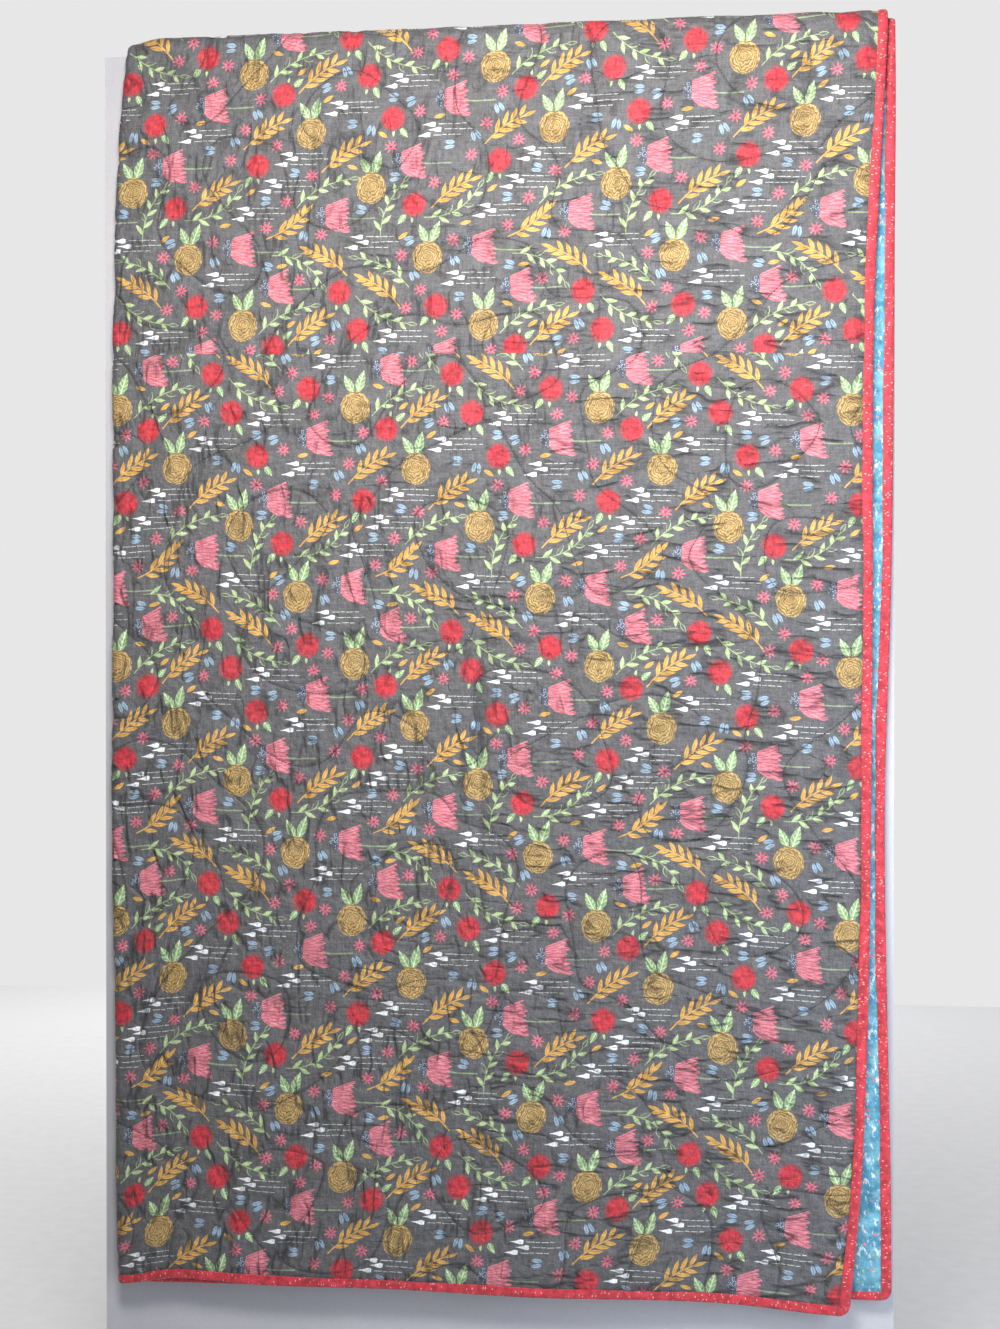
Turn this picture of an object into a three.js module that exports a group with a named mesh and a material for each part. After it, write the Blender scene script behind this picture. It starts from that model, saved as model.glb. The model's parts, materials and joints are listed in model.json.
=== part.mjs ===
// A patchwork quilt folded in half lengthwise and draped over the top edge of an upright board on two feet.
// Millimetres, +Z up. The quilt's front faces -Y, +X is to the right, and the origin is on the floor under the
// middle of the board.
import * as THREE from 'three';
import { mergeVertices } from 'three/addons/utils/BufferGeometryUtils.js';

// Driving dimensions of the board and its feet
const BOARD_WIDTH = 800;
const BOARD_THICKNESS = 36;
const BOARD_TOP = 1450;
const FOOT_WIDTH = 45;
const FOOT_LENGTH = 380;
const FOOT_TOE_HEIGHT = 22;
const FOOT_HEIGHT = 75;
const FOOT_SLOT_FLOOR = 35;
const FOOT_SLOT_WALL = 26;
const FOOT_INSET = 90;
const FIT_GAP = 0.3;

// Driving dimensions of the quilt
const SHEET_THICKNESS = 2.35;
const SHEET_GAP = 0.3;
const EDGE_THICKNESS = 1.55;
const BINDING_WIDTH = 9.5;
const BINDING_LIP = 1.0;
const BINDING_EDGE_WALL = 1.5;
const BINDING_ROUNDING = 1.1;
const BINDING_CLEARANCE = 0.3;
const EDGE_TAPER = 20;
const FRONT_DROP = 1256;
const BACK_DROP = 502;
const SEAM_ABOVE_HEM = 940;
const REST_GAP = 0.35;
const QUILTING_PITCH = 47;
const QUILTING_PUFF = 1.3;
const STORAGE_CREASE_DEPTH = 1.1;
const STORAGE_CREASE_REACH = 16;

const HALF_SHEETS = SHEET_GAP / 2 + SHEET_THICKNESS;
const HALF_EDGE = SHEET_GAP / 2 + EDGE_THICKNESS;
const HALF_SLOT = HALF_EDGE + BINDING_CLEARANCE;
const HALF_BINDING = HALF_SLOT + BINDING_LIP;
const SHEET_INSET = BINDING_EDGE_WALL + BINDING_CLEARANCE;
const LIP_COVER = BINDING_WIDTH + BINDING_CLEARANCE;

// Where the folded edge and the two open edges hang, from the board's left side, by distance below its top.
// innerOffset is the distance of the inner half's middle from the board and layerStep that between the halves.
const FRONT_HANG = [
  { drop: 0, fold: 25, outerEdge: 790, innerEdge: 796.5, innerOffset: 5.2, layerStep: 8, wave: 0, seamSlant: 0 },
  { drop: 70, fold: 19, outerEdge: 785, innerEdge: 796, innerOffset: 5.3, layerStep: 8, wave: 0, seamSlant: 3 },
  { drop: 250, fold: 12, outerEdge: 776, innerEdge: 795, innerOffset: 6.2, layerStep: 8.4, wave: 0.7, seamSlant: 12 },
  { drop: 560, fold: 14, outerEdge: 774, innerEdge: 792, innerOffset: 8, layerStep: 9, wave: 1.8, seamSlant: 6 },
  { drop: 790, fold: 12, outerEdge: 773, innerEdge: 788, innerOffset: 9.6, layerStep: 9.6, wave: 2.8, seamSlant: 2 },
  { drop: 1040, fold: 15, outerEdge: 768, innerEdge: 791, innerOffset: 12, layerStep: 10.6, wave: 4, seamSlant: 0 },
  { drop: 1140, fold: 17, outerEdge: 763, innerEdge: 793, innerOffset: 13.4, layerStep: 11.2, wave: 4.6, seamSlant: 0 },
  { drop: 1260, fold: 21, outerEdge: 752, innerEdge: 793, innerOffset: 15, layerStep: 12, wave: 5.2, seamSlant: 0 },
];
const BACK_HANG = [
  { drop: 0, fold: 25, outerEdge: 790, innerEdge: 796.5, innerOffset: 5.2, layerStep: 8, wave: 0, seamSlant: 0 },
  { drop: 180, fold: 20, outerEdge: 783, innerEdge: 795, innerOffset: 6.4, layerStep: 8.4, wave: 0.8, seamSlant: 0 },
  { drop: 510, fold: 16, outerEdge: 779, innerEdge: 791, innerOffset: 9, layerStep: 10, wave: 2.4, seamSlant: 0 },
];

// How much lower than level each hem hangs, along the cloth from the outer half's edge (0) over the fold (0.5)
const FRONT_HEM = [
  { along: 0, lower: 5 },
  { along: 0.025, lower: 3 },
  { along: 0.07, lower: -3 },
  { along: 0.22, lower: -4 },
  { along: 0.3, lower: -6 },
  { along: 0.38, lower: -5 },
  { along: 0.44, lower: -8 },
  { along: 0.49, lower: 2 },
  { along: 0.54, lower: 0 },
  { along: 0.75, lower: -4 },
  { along: 1, lower: -9 },
];
const BACK_HEM = [
  { along: 0, lower: -4 },
  { along: 0.2, lower: 2 },
  { along: 0.49, lower: 4 },
  { along: 0.75, lower: 0 },
  { along: 1, lower: -6 },
];

// Steps of the cloth's net between its creases, and how often the quilted face divides them
const STEPS_ACROSS_HALF = 8;
const STEPS_ROUND_FOLD = 6;
const STEPS_BELOW_SEAM = 9;
const STEPS_ABOVE_SEAM = 3;
const STEPS_ROUND_EDGE = 4;
const STEPS_OVER_TOP = 3;
const STEPS_BEHIND = 5;
const QUILTED_DIVISIONS = 4;

const lerp = THREE.MathUtils.lerp;

function tableValue(table, key, at, column) {
  const last = table.length - 1;
  if (at <= table[0][key]) {
    return table[0][column];
  }
  if (at >= table[last][key]) {
    return table[last][column];
  }
  const next = table.findIndex((row) => row[key] > at);
  const low = table[next - 1];
  const high = table[next];
  const share = (at - low[key]) / (high[key] - low[key]);
  return lerp(low[column], high[column], share);
}

// Soft hanging waves of the cloth, from -1 to 1
function hangingWave(x, drop) {
  const broad = Math.sin(x / 118 + drop / 900 + 0.7);
  const narrow = Math.sin(x / 61 - drop / 520 + 2.1);
  return 0.65 * broad + 0.35 * narrow;
}

// The section of the folded cloth at one height: along the outer half from its open edge, round the fold and
// back along the inner half. It gives x, the offset from the board and the outward direction in that plane.
function foldedSection(hang, drop, along, restOffset) {
  const fold = tableValue(hang, 'drop', drop, 'fold') - BOARD_WIDTH / 2;
  const outerEdge = tableValue(hang, 'drop', drop, 'outerEdge') - BOARD_WIDTH / 2;
  const innerEdge = tableValue(hang, 'drop', drop, 'innerEdge') - BOARD_WIDTH / 2;
  const step = tableValue(hang, 'drop', drop, 'layerStep');
  const wave = tableValue(hang, 'drop', drop, 'wave');
  const radius = step / 2;
  const foldCentre = fold + radius;
  let x;
  let across;
  let outward;
  if (along.part === 'outer') {
    const inset = along.inset ?? EDGE_TAPER + along.share * (outerEdge - EDGE_TAPER - foldCentre);
    x = outerEdge - inset;
    across = step;
    outward = [0, 1];
  } else if (along.part === 'fold') {
    const angle = along.share * Math.PI;
    x = foldCentre - radius * Math.sin(angle);
    across = radius + radius * Math.cos(angle);
    outward = [-Math.sin(angle), Math.cos(angle)];
  } else {
    const inset = along.inset ?? EDGE_TAPER + (1 - along.share) * (innerEdge - EDGE_TAPER - foldCentre);
    x = innerEdge - inset;
    across = 0;
    outward = [0, -1];
  }
  const base = restOffset ?? tableValue(hang, 'drop', drop, 'innerOffset') + wave * hangingWave(x, drop);
  return { x, offset: base + across, outward };
}

// Columns of the net: insets from the open edges, steps along each half and steps round the fold
const EDGE_INSETS = [0, SHEET_INSET, LIP_COVER, EDGE_TAPER];
function netColumns() {
  const columns = EDGE_INSETS.map((inset) => ({ part: 'outer', inset, along: 0 }));
  for (let i = 1; i <= STEPS_ACROSS_HALF; i += 1) {
    columns.push({ part: 'outer', share: i / STEPS_ACROSS_HALF, along: 0.49 * (i / STEPS_ACROSS_HALF) });
  }
  for (let i = 1; i <= STEPS_ROUND_FOLD; i += 1) {
    columns.push({ part: 'fold', share: i / STEPS_ROUND_FOLD, along: 0.49 + 0.02 * (i / STEPS_ROUND_FOLD) });
  }
  for (let i = 1; i < STEPS_ACROSS_HALF; i += 1) {
    columns.push({ part: 'inner', share: i / STEPS_ACROSS_HALF, along: 0.51 + 0.49 * (i / STEPS_ACROSS_HALF) });
  }
  for (const inset of [...EDGE_INSETS].reverse()) {
    columns.push({ part: 'inner', inset, along: 1 });
  }
  return columns;
}

// Rows of the net from the front hem, up the front, over the board's top edge and down behind
function netRows() {
  const rows = EDGE_INSETS.map((above) => ({ part: 'front', above }));
  for (let i = 1; i <= STEPS_BELOW_SEAM; i += 1) {
    rows.push({ part: 'front', above: lerp(EDGE_TAPER, SEAM_ABOVE_HEM, i / STEPS_BELOW_SEAM) });
  }
  for (let i = 1; i <= STEPS_ABOVE_SEAM; i += 1) {
    rows.push({ part: 'front', above: lerp(SEAM_ABOVE_HEM, FRONT_DROP, i / STEPS_ABOVE_SEAM) });
  }
  for (let i = 1; i <= STEPS_ROUND_EDGE; i += 1) {
    rows.push({ part: 'frontCorner', share: i / STEPS_ROUND_EDGE });
  }
  for (let i = 1; i < STEPS_OVER_TOP; i += 1) {
    rows.push({ part: 'top', share: i / STEPS_OVER_TOP });
  }
  for (let i = 0; i <= STEPS_ROUND_EDGE; i += 1) {
    rows.push({ part: 'backCorner', share: i / STEPS_ROUND_EDGE });
  }
  for (let i = STEPS_BEHIND - 1; i >= 0; i -= 1) {
    rows.push({ part: 'back', above: lerp(EDGE_TAPER, BACK_DROP, i / STEPS_BEHIND) });
  }
  for (const above of [...EDGE_INSETS].reverse().slice(1)) {
    rows.push({ part: 'back', above });
  }
  return rows;
}

const COLUMNS = netColumns();
const ROWS = netRows();
const FIRST_QUILTED_COLUMN = EDGE_INSETS.length - 1;
const FOLD_COLUMN = FIRST_QUILTED_COLUMN + STEPS_ACROSS_HALF;
const SEAM_ROW = EDGE_INSETS.length - 1 + STEPS_BELOW_SEAM;
const TOP_FRONT_ROW = SEAM_ROW + STEPS_ABOVE_SEAM;
const TOP_BACK_ROW = TOP_FRONT_ROW + 2 * STEPS_ROUND_EDGE + STEPS_OVER_TOP;
const LAST_COLUMN = COLUMNS.length - 1;
const LAST_ROW = ROWS.length - 1;

// A point where a row and a column of the net cross, with the direction out of the quilt's charcoal side
function netPoint(column, row) {
  const hang = row.part === 'front' || row.part === 'frontCorner' ? FRONT_HANG : BACK_HANG;
  const face = BOARD_THICKNESS / 2;
  if (row.part === 'front' || row.part === 'back') {
    const side = row.part === 'front' ? -1 : 1;
    const hem = row.part === 'front' ? FRONT_HEM : BACK_HEM;
    const fullDrop = row.part === 'front' ? FRONT_DROP : BACK_DROP;
    const lower = tableValue(hem, 'along', column.along, 'lower');
    const level = fullDrop - row.above;
    const slant = tableValue(hang, 'drop', level, 'seamSlant') * (0.25 - column.along) * 2;
    const drop = level + lower * Math.max(0, 1 - row.above / fullDrop) + slant;
    const section = foldedSection(hang, level, column);
    return {
      point: new THREE.Vector3(section.x, side * (face + section.offset), BOARD_TOP - drop),
      outward: new THREE.Vector3(section.outward[0], side * section.outward[1], 0),
    };
  }
  if (row.part === 'top') {
    const half = column.inset !== undefined && column.inset < EDGE_TAPER ? HALF_BINDING : HALF_SHEETS;
    const section = foldedSection(FRONT_HANG, 0, column, half + REST_GAP);
    return {
      point: new THREE.Vector3(section.x, lerp(-face, face, row.share), BOARD_TOP + section.offset),
      outward: new THREE.Vector3(section.outward[0], 0, section.outward[1]),
    };
  }
  const section = foldedSection(hang, 0, column);
  const front = row.part === 'frontCorner';
  const angle = (front ? row.share : 1 - row.share) * (Math.PI / 2);
  const side = front ? -1 : 1;
  const [outX, outAway] = section.outward;
  return {
    point: new THREE.Vector3(
      section.x,
      side * (face + section.offset * Math.cos(angle)),
      BOARD_TOP + section.offset * Math.sin(angle),
    ),
    outward: new THREE.Vector3(outX, side * outAway * Math.cos(angle), outAway * Math.sin(angle)),
  };
}

const NET = ROWS.map((row) => COLUMNS.map((column) => netPoint(column, row)));

// A point of the net between its rows and columns, raised along the outward direction
function onNet(column, row, height) {
  const left = Math.min(Math.floor(column), LAST_COLUMN - 1);
  const low = Math.min(Math.floor(row), LAST_ROW - 1);
  const across = column - left;
  const along = row - low;
  const mix = (key) => {
    const lower = NET[low][left][key].clone().lerp(NET[low][left + 1][key], across);
    const upper = NET[low + 1][left][key].clone().lerp(NET[low + 1][left + 1][key], across);
    return lower.lerp(upper, along);
  };
  return mix('point').addScaledVector(mix('outward'), height);
}

// The net's column or row that lies a distance inside an open edge
function insetIndex(inset, last) {
  const next = EDGE_INSETS.findIndex((edge) => edge > inset);
  const low = EDGE_INSETS[next - 1];
  const index = next - 1 + (inset - low) / (EDGE_INSETS[next] - low);
  return last === undefined ? index : last - index;
}

// How much of its full thickness the cloth has, thinner under the binding
function fullness(column, row) {
  const taperStart = EDGE_INSETS.length - 2;
  const nearest = Math.min(column, row, LAST_COLUMN - column, LAST_ROW - row);
  return THREE.MathUtils.clamp(nearest - taperStart, 0, 1);
}

// Puffed cells between the stitched lines, and the storage crease down the middle of the front
function quilting(column, row) {
  const onOuterHalf = column > FIRST_QUILTED_COLUMN && column < FOLD_COLUMN;
  const overEdge = row >= TOP_FRONT_ROW && row <= TOP_BACK_ROW;
  if (!onOuterHalf || overEdge || fullness(column, row) < 1) {
    return 0;
  }
  const place = onNet(column, row, 0);
  const wanderUp = 0.16 * Math.sin(place.x / 57) + 0.12 * Math.sin(place.z / 83 + 1);
  const wanderAcross = 0.16 * Math.sin(place.z / 49 + 2) + 0.12 * Math.sin(place.x / 91);
  const up = Math.abs(Math.sin(Math.PI * (place.z / QUILTING_PITCH + wanderUp)));
  const across = Math.abs(Math.sin(Math.PI * (place.x / QUILTING_PITCH + wanderAcross)));
  const creaseColumn = (FIRST_QUILTED_COLUMN + FOLD_COLUMN) / 2;
  const fromCrease = Math.abs(place.x - onNet(creaseColumn, row, 0).x);
  const crease = Math.max(0, 1 - fromCrease / STORAGE_CREASE_REACH);
  return QUILTING_PUFF * Math.sqrt(up * across) * (1 - crease) - STORAGE_CREASE_DEPTH * crease;
}

function range(from, to) {
  const list = [];
  for (let i = from; i <= to; i += 1) {
    list.push(i);
  }
  return list;
}

// Whole steps of the net, with those of the flat stretches divided for the quilted face
function divided(list, isFlat) {
  const finer = [];
  for (let i = 0; i < list.length - 1; i += 1) {
    const divisions = isFlat(list[i]) && isFlat(list[i + 1]) ? QUILTED_DIVISIONS : 1;
    for (let k = 0; k < divisions; k += 1) {
      finer.push(lerp(list[i], list[i + 1], k / divisions));
    }
  }
  finer.push(list[list.length - 1]);
  return finer;
}

// A point with its place along a line
function placed(point, at) {
  return Object.assign(point, { at });
}

// Collects triangles, and gives one closed body back
class Body {
  constructor() {
    this.corners = [];
  }

  triangle(a, b, c, flipped) {
    this.corners.push(a, flipped ? c : b, flipped ? b : c);
  }

  // The strip between two lines of net points that run the same way, taken in the order of their places along
  // it. A flipped strip faces the other way with the same diagonals, so that two faces lie parallel.
  strip(first, second, flipped = false) {
    let i = 0;
    let j = 0;
    while (i < first.length - 1 || j < second.length - 1) {
      const secondDone = j === second.length - 1;
      if (secondDone || (i < first.length - 1 && first[i + 1].at <= second[j + 1].at)) {
        this.triangle(first[i], first[i + 1], second[j], flipped);
        i += 1;
      } else {
        this.triangle(first[i], second[j + 1], second[j], flipped);
        j += 1;
      }
    }
  }

  // The band between two closed rings of as many points each
  band(first, second) {
    first.forEach((corner, index) => {
      const next = (index + 1) % first.length;
      this.triangle(corner, first[next], second[index], false);
      this.triangle(first[next], second[next], second[index], false);
    });
  }

  geometry() {
    const geometry = new THREE.BufferGeometry();
    const numbers = new Float32Array(this.corners.flatMap((corner) => [corner.x, corner.y, corner.z]));
    geometry.setAttribute('position', new THREE.BufferAttribute(numbers, 3));
    const merged = mergeVertices(geometry, 1e-3);
    merged.computeVertexNormals();
    return merged;
  }
}

// A sheet of the quilt between two heights over the net, quilted on its outer half's outward face if asked.
// The last row or column of a face is joined to the other face round the sheet's rim.
function sheetGeometry({ firstRow, lastRow, low, high, quilted }) {
  const rows = [firstRow, ...range(Math.floor(firstRow) + 1, Math.ceil(lastRow) - 1), lastRow];
  const columns = range(1, LAST_COLUMN - 1);
  const isQuiltedRow = (row) => row >= EDGE_INSETS.length - 1 && row <= LAST_ROW - EDGE_INSETS.length + 1;
  const isFlatRow = (row) => isQuiltedRow(row) && (row <= TOP_FRONT_ROW || row >= TOP_BACK_ROW);
  const fineRows = quilted ? divided(rows, isFlatRow) : rows;
  const outerColumns = columns.filter((column) => column <= FOLD_COLUMN);
  const restColumns = columns.filter((column) => column >= FOLD_COLUMN);
  const isFlatColumn = (column) => column >= FIRST_QUILTED_COLUMN;
  const fineColumns = quilted ? divided(outerColumns, isFlatColumn) : outerColumns;
  const body = new Body();
  const height = (column, row, full) => {
    const sheet = Math.sign(full) * lerp(HALF_EDGE, HALF_SHEETS, fullness(column, row));
    return Math.abs(full) < HALF_EDGE ? full : sheet;
  };
  const outwardHeight = (column, row) => height(column, row, high) + (quilted ? quilting(column, row) : 0);
  const outwardPoint = (column, row, at) => placed(onNet(column, row, outwardHeight(column, row)), at);
  const inwardPoint = (column, row, at) => placed(onNet(column, row, height(column, row, low)), at);
  const outwardLine = (column, lineRows) => lineRows.map((row) => outwardPoint(column, row, row));
  const inwardLine = (column) => rows.map((row) => inwardPoint(column, row, row));
  for (let i = 0; i < fineColumns.length - 1; i += 1) {
    body.strip(outwardLine(fineColumns[i], fineRows), outwardLine(fineColumns[i + 1], fineRows));
  }
  for (let i = 0; i < restColumns.length - 1; i += 1) {
    const nearRows = i === 0 ? fineRows : rows;
    body.strip(outwardLine(restColumns[i], nearRows), outwardLine(restColumns[i + 1], rows));
  }
  for (let i = 0; i < columns.length - 1; i += 1) {
    body.strip(inwardLine(columns[i]), inwardLine(columns[i + 1]), true);
  }
  body.strip(inwardLine(columns[0]), outwardLine(columns[0], fineRows));
  body.strip(outwardLine(columns.at(-1), rows), inwardLine(columns.at(-1)));
  const allFine = [...fineColumns, ...restColumns.slice(1)];
  for (const row of [firstRow, lastRow]) {
    const outward = allFine.map((column) => outwardPoint(column, row, column));
    const inward = columns.map((column) => inwardPoint(column, row, column));
    body.strip(outward, inward, row === lastRow);
  }
  return body.geometry();
}

// The binding's section: how far inside the edge, and how high over the middle of the cloth
const BINDING_SECTION = [
  [BINDING_WIDTH, HALF_BINDING],
  [BINDING_ROUNDING, HALF_BINDING],
  [0, HALF_BINDING - BINDING_ROUNDING],
  [0, BINDING_ROUNDING - HALF_BINDING],
  [BINDING_ROUNDING, -HALF_BINDING],
  [BINDING_WIDTH, -HALF_BINDING],
  [BINDING_WIDTH, -HALF_SLOT],
  [BINDING_EDGE_WALL, -HALF_SLOT],
  [BINDING_EDGE_WALL, HALF_SLOT],
  [BINDING_WIDTH, HALF_SLOT],
];

// One strip folded round all four edges, with a mitre at each corner
function bindingGeometry() {
  const columnsBetween = range(EDGE_INSETS.length - 1, LAST_COLUMN - EDGE_INSETS.length + 1);
  const rowsBetween = range(EDGE_INSETS.length - 1, LAST_ROW - EDGE_INSETS.length + 1);
  const fromStart = (inset) => insetIndex(inset);
  const fromLastColumn = (inset) => insetIndex(inset, LAST_COLUMN);
  const fromLastRow = (inset) => insetIndex(inset, LAST_ROW);
  const stations = [
    (inset, height) => onNet(fromStart(inset), fromStart(inset), height),
    ...columnsBetween.map((column) => (inset, height) => onNet(column, fromStart(inset), height)),
    (inset, height) => onNet(fromLastColumn(inset), fromStart(inset), height),
    ...rowsBetween.map((row) => (inset, height) => onNet(fromLastColumn(inset), row, height)),
    (inset, height) => onNet(fromLastColumn(inset), fromLastRow(inset), height),
    ...[...columnsBetween].reverse().map((column) => (inset, height) => onNet(column, fromLastRow(inset), height)),
    (inset, height) => onNet(fromStart(inset), fromLastRow(inset), height),
    ...[...rowsBetween].reverse().map((row) => (inset, height) => onNet(fromStart(inset), row, height)),
  ];
  const rings = stations.map((station) => BINDING_SECTION.map(([inset, height]) => station(inset, height)));
  const body = new Body();
  rings.forEach((ring, index) => {
    const nextRing = rings[(index + 1) % rings.length];
    body.band(nextRing, ring);
  });
  return body.geometry();
}

function boardGeometry() {
  const bottom = FOOT_SLOT_FLOOR + FIT_GAP;
  const board = new THREE.BoxGeometry(BOARD_WIDTH, BOARD_THICKNESS, BOARD_TOP - bottom);
  board.translate(0, 0, (BOARD_TOP + bottom) / 2);
  return board;
}

// A low foot with a slot that the board's lower edge stands in
function footGeometry() {
  const slot = BOARD_THICKNESS / 2 + FIT_GAP;
  const shoulder = slot + FOOT_SLOT_WALL;
  const toe = FOOT_LENGTH / 2;
  const outline = new THREE.Shape();
  outline.moveTo(-toe, 0);
  outline.lineTo(toe, 0);
  outline.lineTo(toe, FOOT_TOE_HEIGHT);
  outline.lineTo(shoulder, FOOT_HEIGHT);
  outline.lineTo(slot, FOOT_HEIGHT);
  outline.lineTo(slot, FOOT_SLOT_FLOOR);
  outline.lineTo(-slot, FOOT_SLOT_FLOOR);
  outline.lineTo(-slot, FOOT_HEIGHT);
  outline.lineTo(-shoulder, FOOT_HEIGHT);
  outline.lineTo(-toe, FOOT_TOE_HEIGHT);
  outline.closePath();
  const foot = new THREE.ExtrudeGeometry(outline, { depth: FOOT_WIDTH, bevelEnabled: false });
  foot.translate(0, 0, -FOOT_WIDTH / 2);
  foot.rotateX(Math.PI / 2);
  foot.rotateZ(Math.PI / 2);
  return foot;
}

const charcoal = new THREE.MeshStandardMaterial({ color: 0x565553, roughness: 0.95, metalness: 0 });
const turquoise = new THREE.MeshStandardMaterial({ color: 0x58a5ad, roughness: 0.9, metalness: 0 });
const red = new THREE.MeshStandardMaterial({ color: 0xd23048, roughness: 0.85, metalness: 0 });
const paleGrey = new THREE.MeshStandardMaterial({ color: 0xb9bac2, roughness: 0.7, metalness: 0 });

function named(name, geometry, material) {
  const mesh = new THREE.Mesh(geometry, material);
  mesh.name = name;
  return mesh;
}

const group = new THREE.Group();
group.add(named('board', boardGeometry(), paleGrey));
for (const [name, side] of [['foot_left', -1], ['foot_right', 1]]) {
  const foot = named(name, footGeometry(), paleGrey);
  foot.position.x = side * (BOARD_WIDTH / 2 - FOOT_INSET);
  group.add(foot);
}

const halfSeamGap = SHEET_GAP / 2;
const seamBelow = SEAM_ROW - halfSeamGap / ((SEAM_ABOVE_HEM - EDGE_TAPER) / STEPS_BELOW_SEAM);
const seamAbove = SEAM_ROW + halfSeamGap / ((FRONT_DROP - SEAM_ABOVE_HEM) / STEPS_ABOVE_SEAM);
const backing = { low: SHEET_GAP / 2, high: HALF_SHEETS, quilted: true };
const lowerPanel = sheetGeometry({ ...backing, firstRow: 1, lastRow: seamBelow });
const upperPanel = sheetGeometry({ ...backing, firstRow: seamAbove, lastRow: LAST_ROW - 1 });
const innerFace = { low: -HALF_SHEETS, high: -SHEET_GAP / 2, quilted: false };
const topSheet = sheetGeometry({ ...innerFace, firstRow: 1, lastRow: LAST_ROW - 1 });
group.add(named('backing_lower', lowerPanel, charcoal));
group.add(named('backing_upper', upperPanel, charcoal));
group.add(named('patchwork_top', topSheet, turquoise));
group.add(named('binding', bindingGeometry(), red));

export default group;
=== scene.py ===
"""A patchwork quilt folded in half lengthwise and draped over a display board.

The cloth is laid out flat first, in millimetres: u runs across from the outer half's open edge, round the
fold and on to the inner half's open edge, and v runs from the front hem up, over the board and down behind.
The print is cut into that flat sheet as faces, and the sheet is then draped.
"""
import json
import math
import random

import bpy
import numpy as np
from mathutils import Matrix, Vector
from mathutils.geometry import delaunay_2d_cdt
from mathutils.kdtree import KDTree

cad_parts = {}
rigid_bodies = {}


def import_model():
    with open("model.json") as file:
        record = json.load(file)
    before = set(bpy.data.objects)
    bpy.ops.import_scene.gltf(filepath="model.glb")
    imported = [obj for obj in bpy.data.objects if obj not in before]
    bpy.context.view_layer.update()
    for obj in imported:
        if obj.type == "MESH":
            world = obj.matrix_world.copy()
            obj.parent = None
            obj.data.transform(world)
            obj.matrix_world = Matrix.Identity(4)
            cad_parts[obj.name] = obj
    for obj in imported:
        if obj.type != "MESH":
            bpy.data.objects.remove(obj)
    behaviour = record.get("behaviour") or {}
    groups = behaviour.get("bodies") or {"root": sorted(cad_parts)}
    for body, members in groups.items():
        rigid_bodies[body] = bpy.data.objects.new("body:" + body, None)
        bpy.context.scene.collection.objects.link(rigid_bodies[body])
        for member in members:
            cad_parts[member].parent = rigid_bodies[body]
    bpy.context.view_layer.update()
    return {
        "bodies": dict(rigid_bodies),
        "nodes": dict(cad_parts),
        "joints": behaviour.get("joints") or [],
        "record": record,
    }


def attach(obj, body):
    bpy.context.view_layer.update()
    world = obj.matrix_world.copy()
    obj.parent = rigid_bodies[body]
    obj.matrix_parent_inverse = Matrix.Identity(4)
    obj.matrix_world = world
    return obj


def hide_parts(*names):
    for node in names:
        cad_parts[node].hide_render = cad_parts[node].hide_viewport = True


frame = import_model()

MM = 0.001

# The photograph's view
IMAGE_HEIGHT = 1329
FOCAL_PIXELS = 1847
CAMERA_PLACE = (0.229, -1.865, 0.836)
CAMERA_AZIMUTH = math.radians(6.76)
CAMERA_ELEVATION = math.radians(0.35)
SENSOR = 36.0


def make_camera():
    data = bpy.data.cameras.new("camera")
    data.sensor_width = SENSOR
    data.sensor_fit = "AUTO"
    data.lens = SENSOR * FOCAL_PIXELS / IMAGE_HEIGHT
    camera = bpy.data.objects.new("camera", data)
    camera.location = CAMERA_PLACE
    back = Vector((
        math.sin(CAMERA_AZIMUTH) * math.cos(CAMERA_ELEVATION),
        -math.cos(CAMERA_AZIMUTH) * math.cos(CAMERA_ELEVATION),
        math.sin(CAMERA_ELEVATION),
    ))
    camera.rotation_euler = back.to_track_quat("Z", "Y").to_euler()
    bpy.context.collection.objects.link(camera)
    bpy.context.scene.camera = camera


# Sizes of the board and of the quilt's layers, in millimetres
BOARD_WIDTH = 800
BOARD_HALF = 18
BOARD_TOP = 1450
FRONT_DROP = 1256
BACK_DROP = 502
SEAM_V = 940
HALF_SHEETS = 2.5
HALF_EDGE = 1.7
REST_GAP = 0.35
CORNER_RADIUS = 13.2
CORNER_LENGTH = CORNER_RADIUS * math.pi / 2
CORNER_OFFSET = 5.2
BINDING_WIDTH = 9.5
EDGE_TAPER = 20
EDGE_LIFT = 0.5
FOLD_SLUMP = 5
SLUMP_WIDTH = 34
SLUMP_REACH = 18

V_FRONT_TOP = FRONT_DROP
V_TOP_START = V_FRONT_TOP + CORNER_LENGTH
V_TOP_END = V_TOP_START + 2 * BOARD_HALF
V_BACK_TOP = V_TOP_END + CORNER_LENGTH
FULL_LENGTH = V_BACK_TOP + BACK_DROP
FLAT_WIDTH = 1536

# How the cloth hangs, by distance below the board's top: where its fold and open edges lie from the board's
# left side, how far the inner half's middle stands off the board, how far apart the halves lie, how deep the
# low waves are and how far the outer open edge is lowered against the fold
HANG_COLUMNS = ("drop", "fold", "outer_edge", "inner_edge", "offset", "step", "wave", "slant")
FRONT_HANG = (
    (0, 30, 792, 799.5, 5.2, 8.0, 0.0, 0),
    (70, 23, 788.5, 800, 5.3, 8.0, 0.0, 3),
    (250, 16, 779.5, 799, 6.2, 8.4, 0.7, 12),
    (560, 15.5, 777.5, 796, 8.0, 9.0, 1.8, 6),
    (790, 14, 776, 790, 9.6, 9.6, 2.8, 2),
    (1040, 19, 771, 794, 12.0, 10.6, 4.0, 0),
    (1140, 19, 766, 796, 13.4, 11.2, 4.6, 0),
    (1260, 22, 755, 797, 15.0, 12.0, 5.2, 0),
)
BACK_HANG = (
    (0, 30, 792, 799.5, 5.2, 8.0, 0.0, 0),
    (180, 20, 783, 795, 6.4, 8.4, 0.8, 0),
    (510, 16, 779, 791, 9.0, 10.0, 2.4, 0),
)

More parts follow.
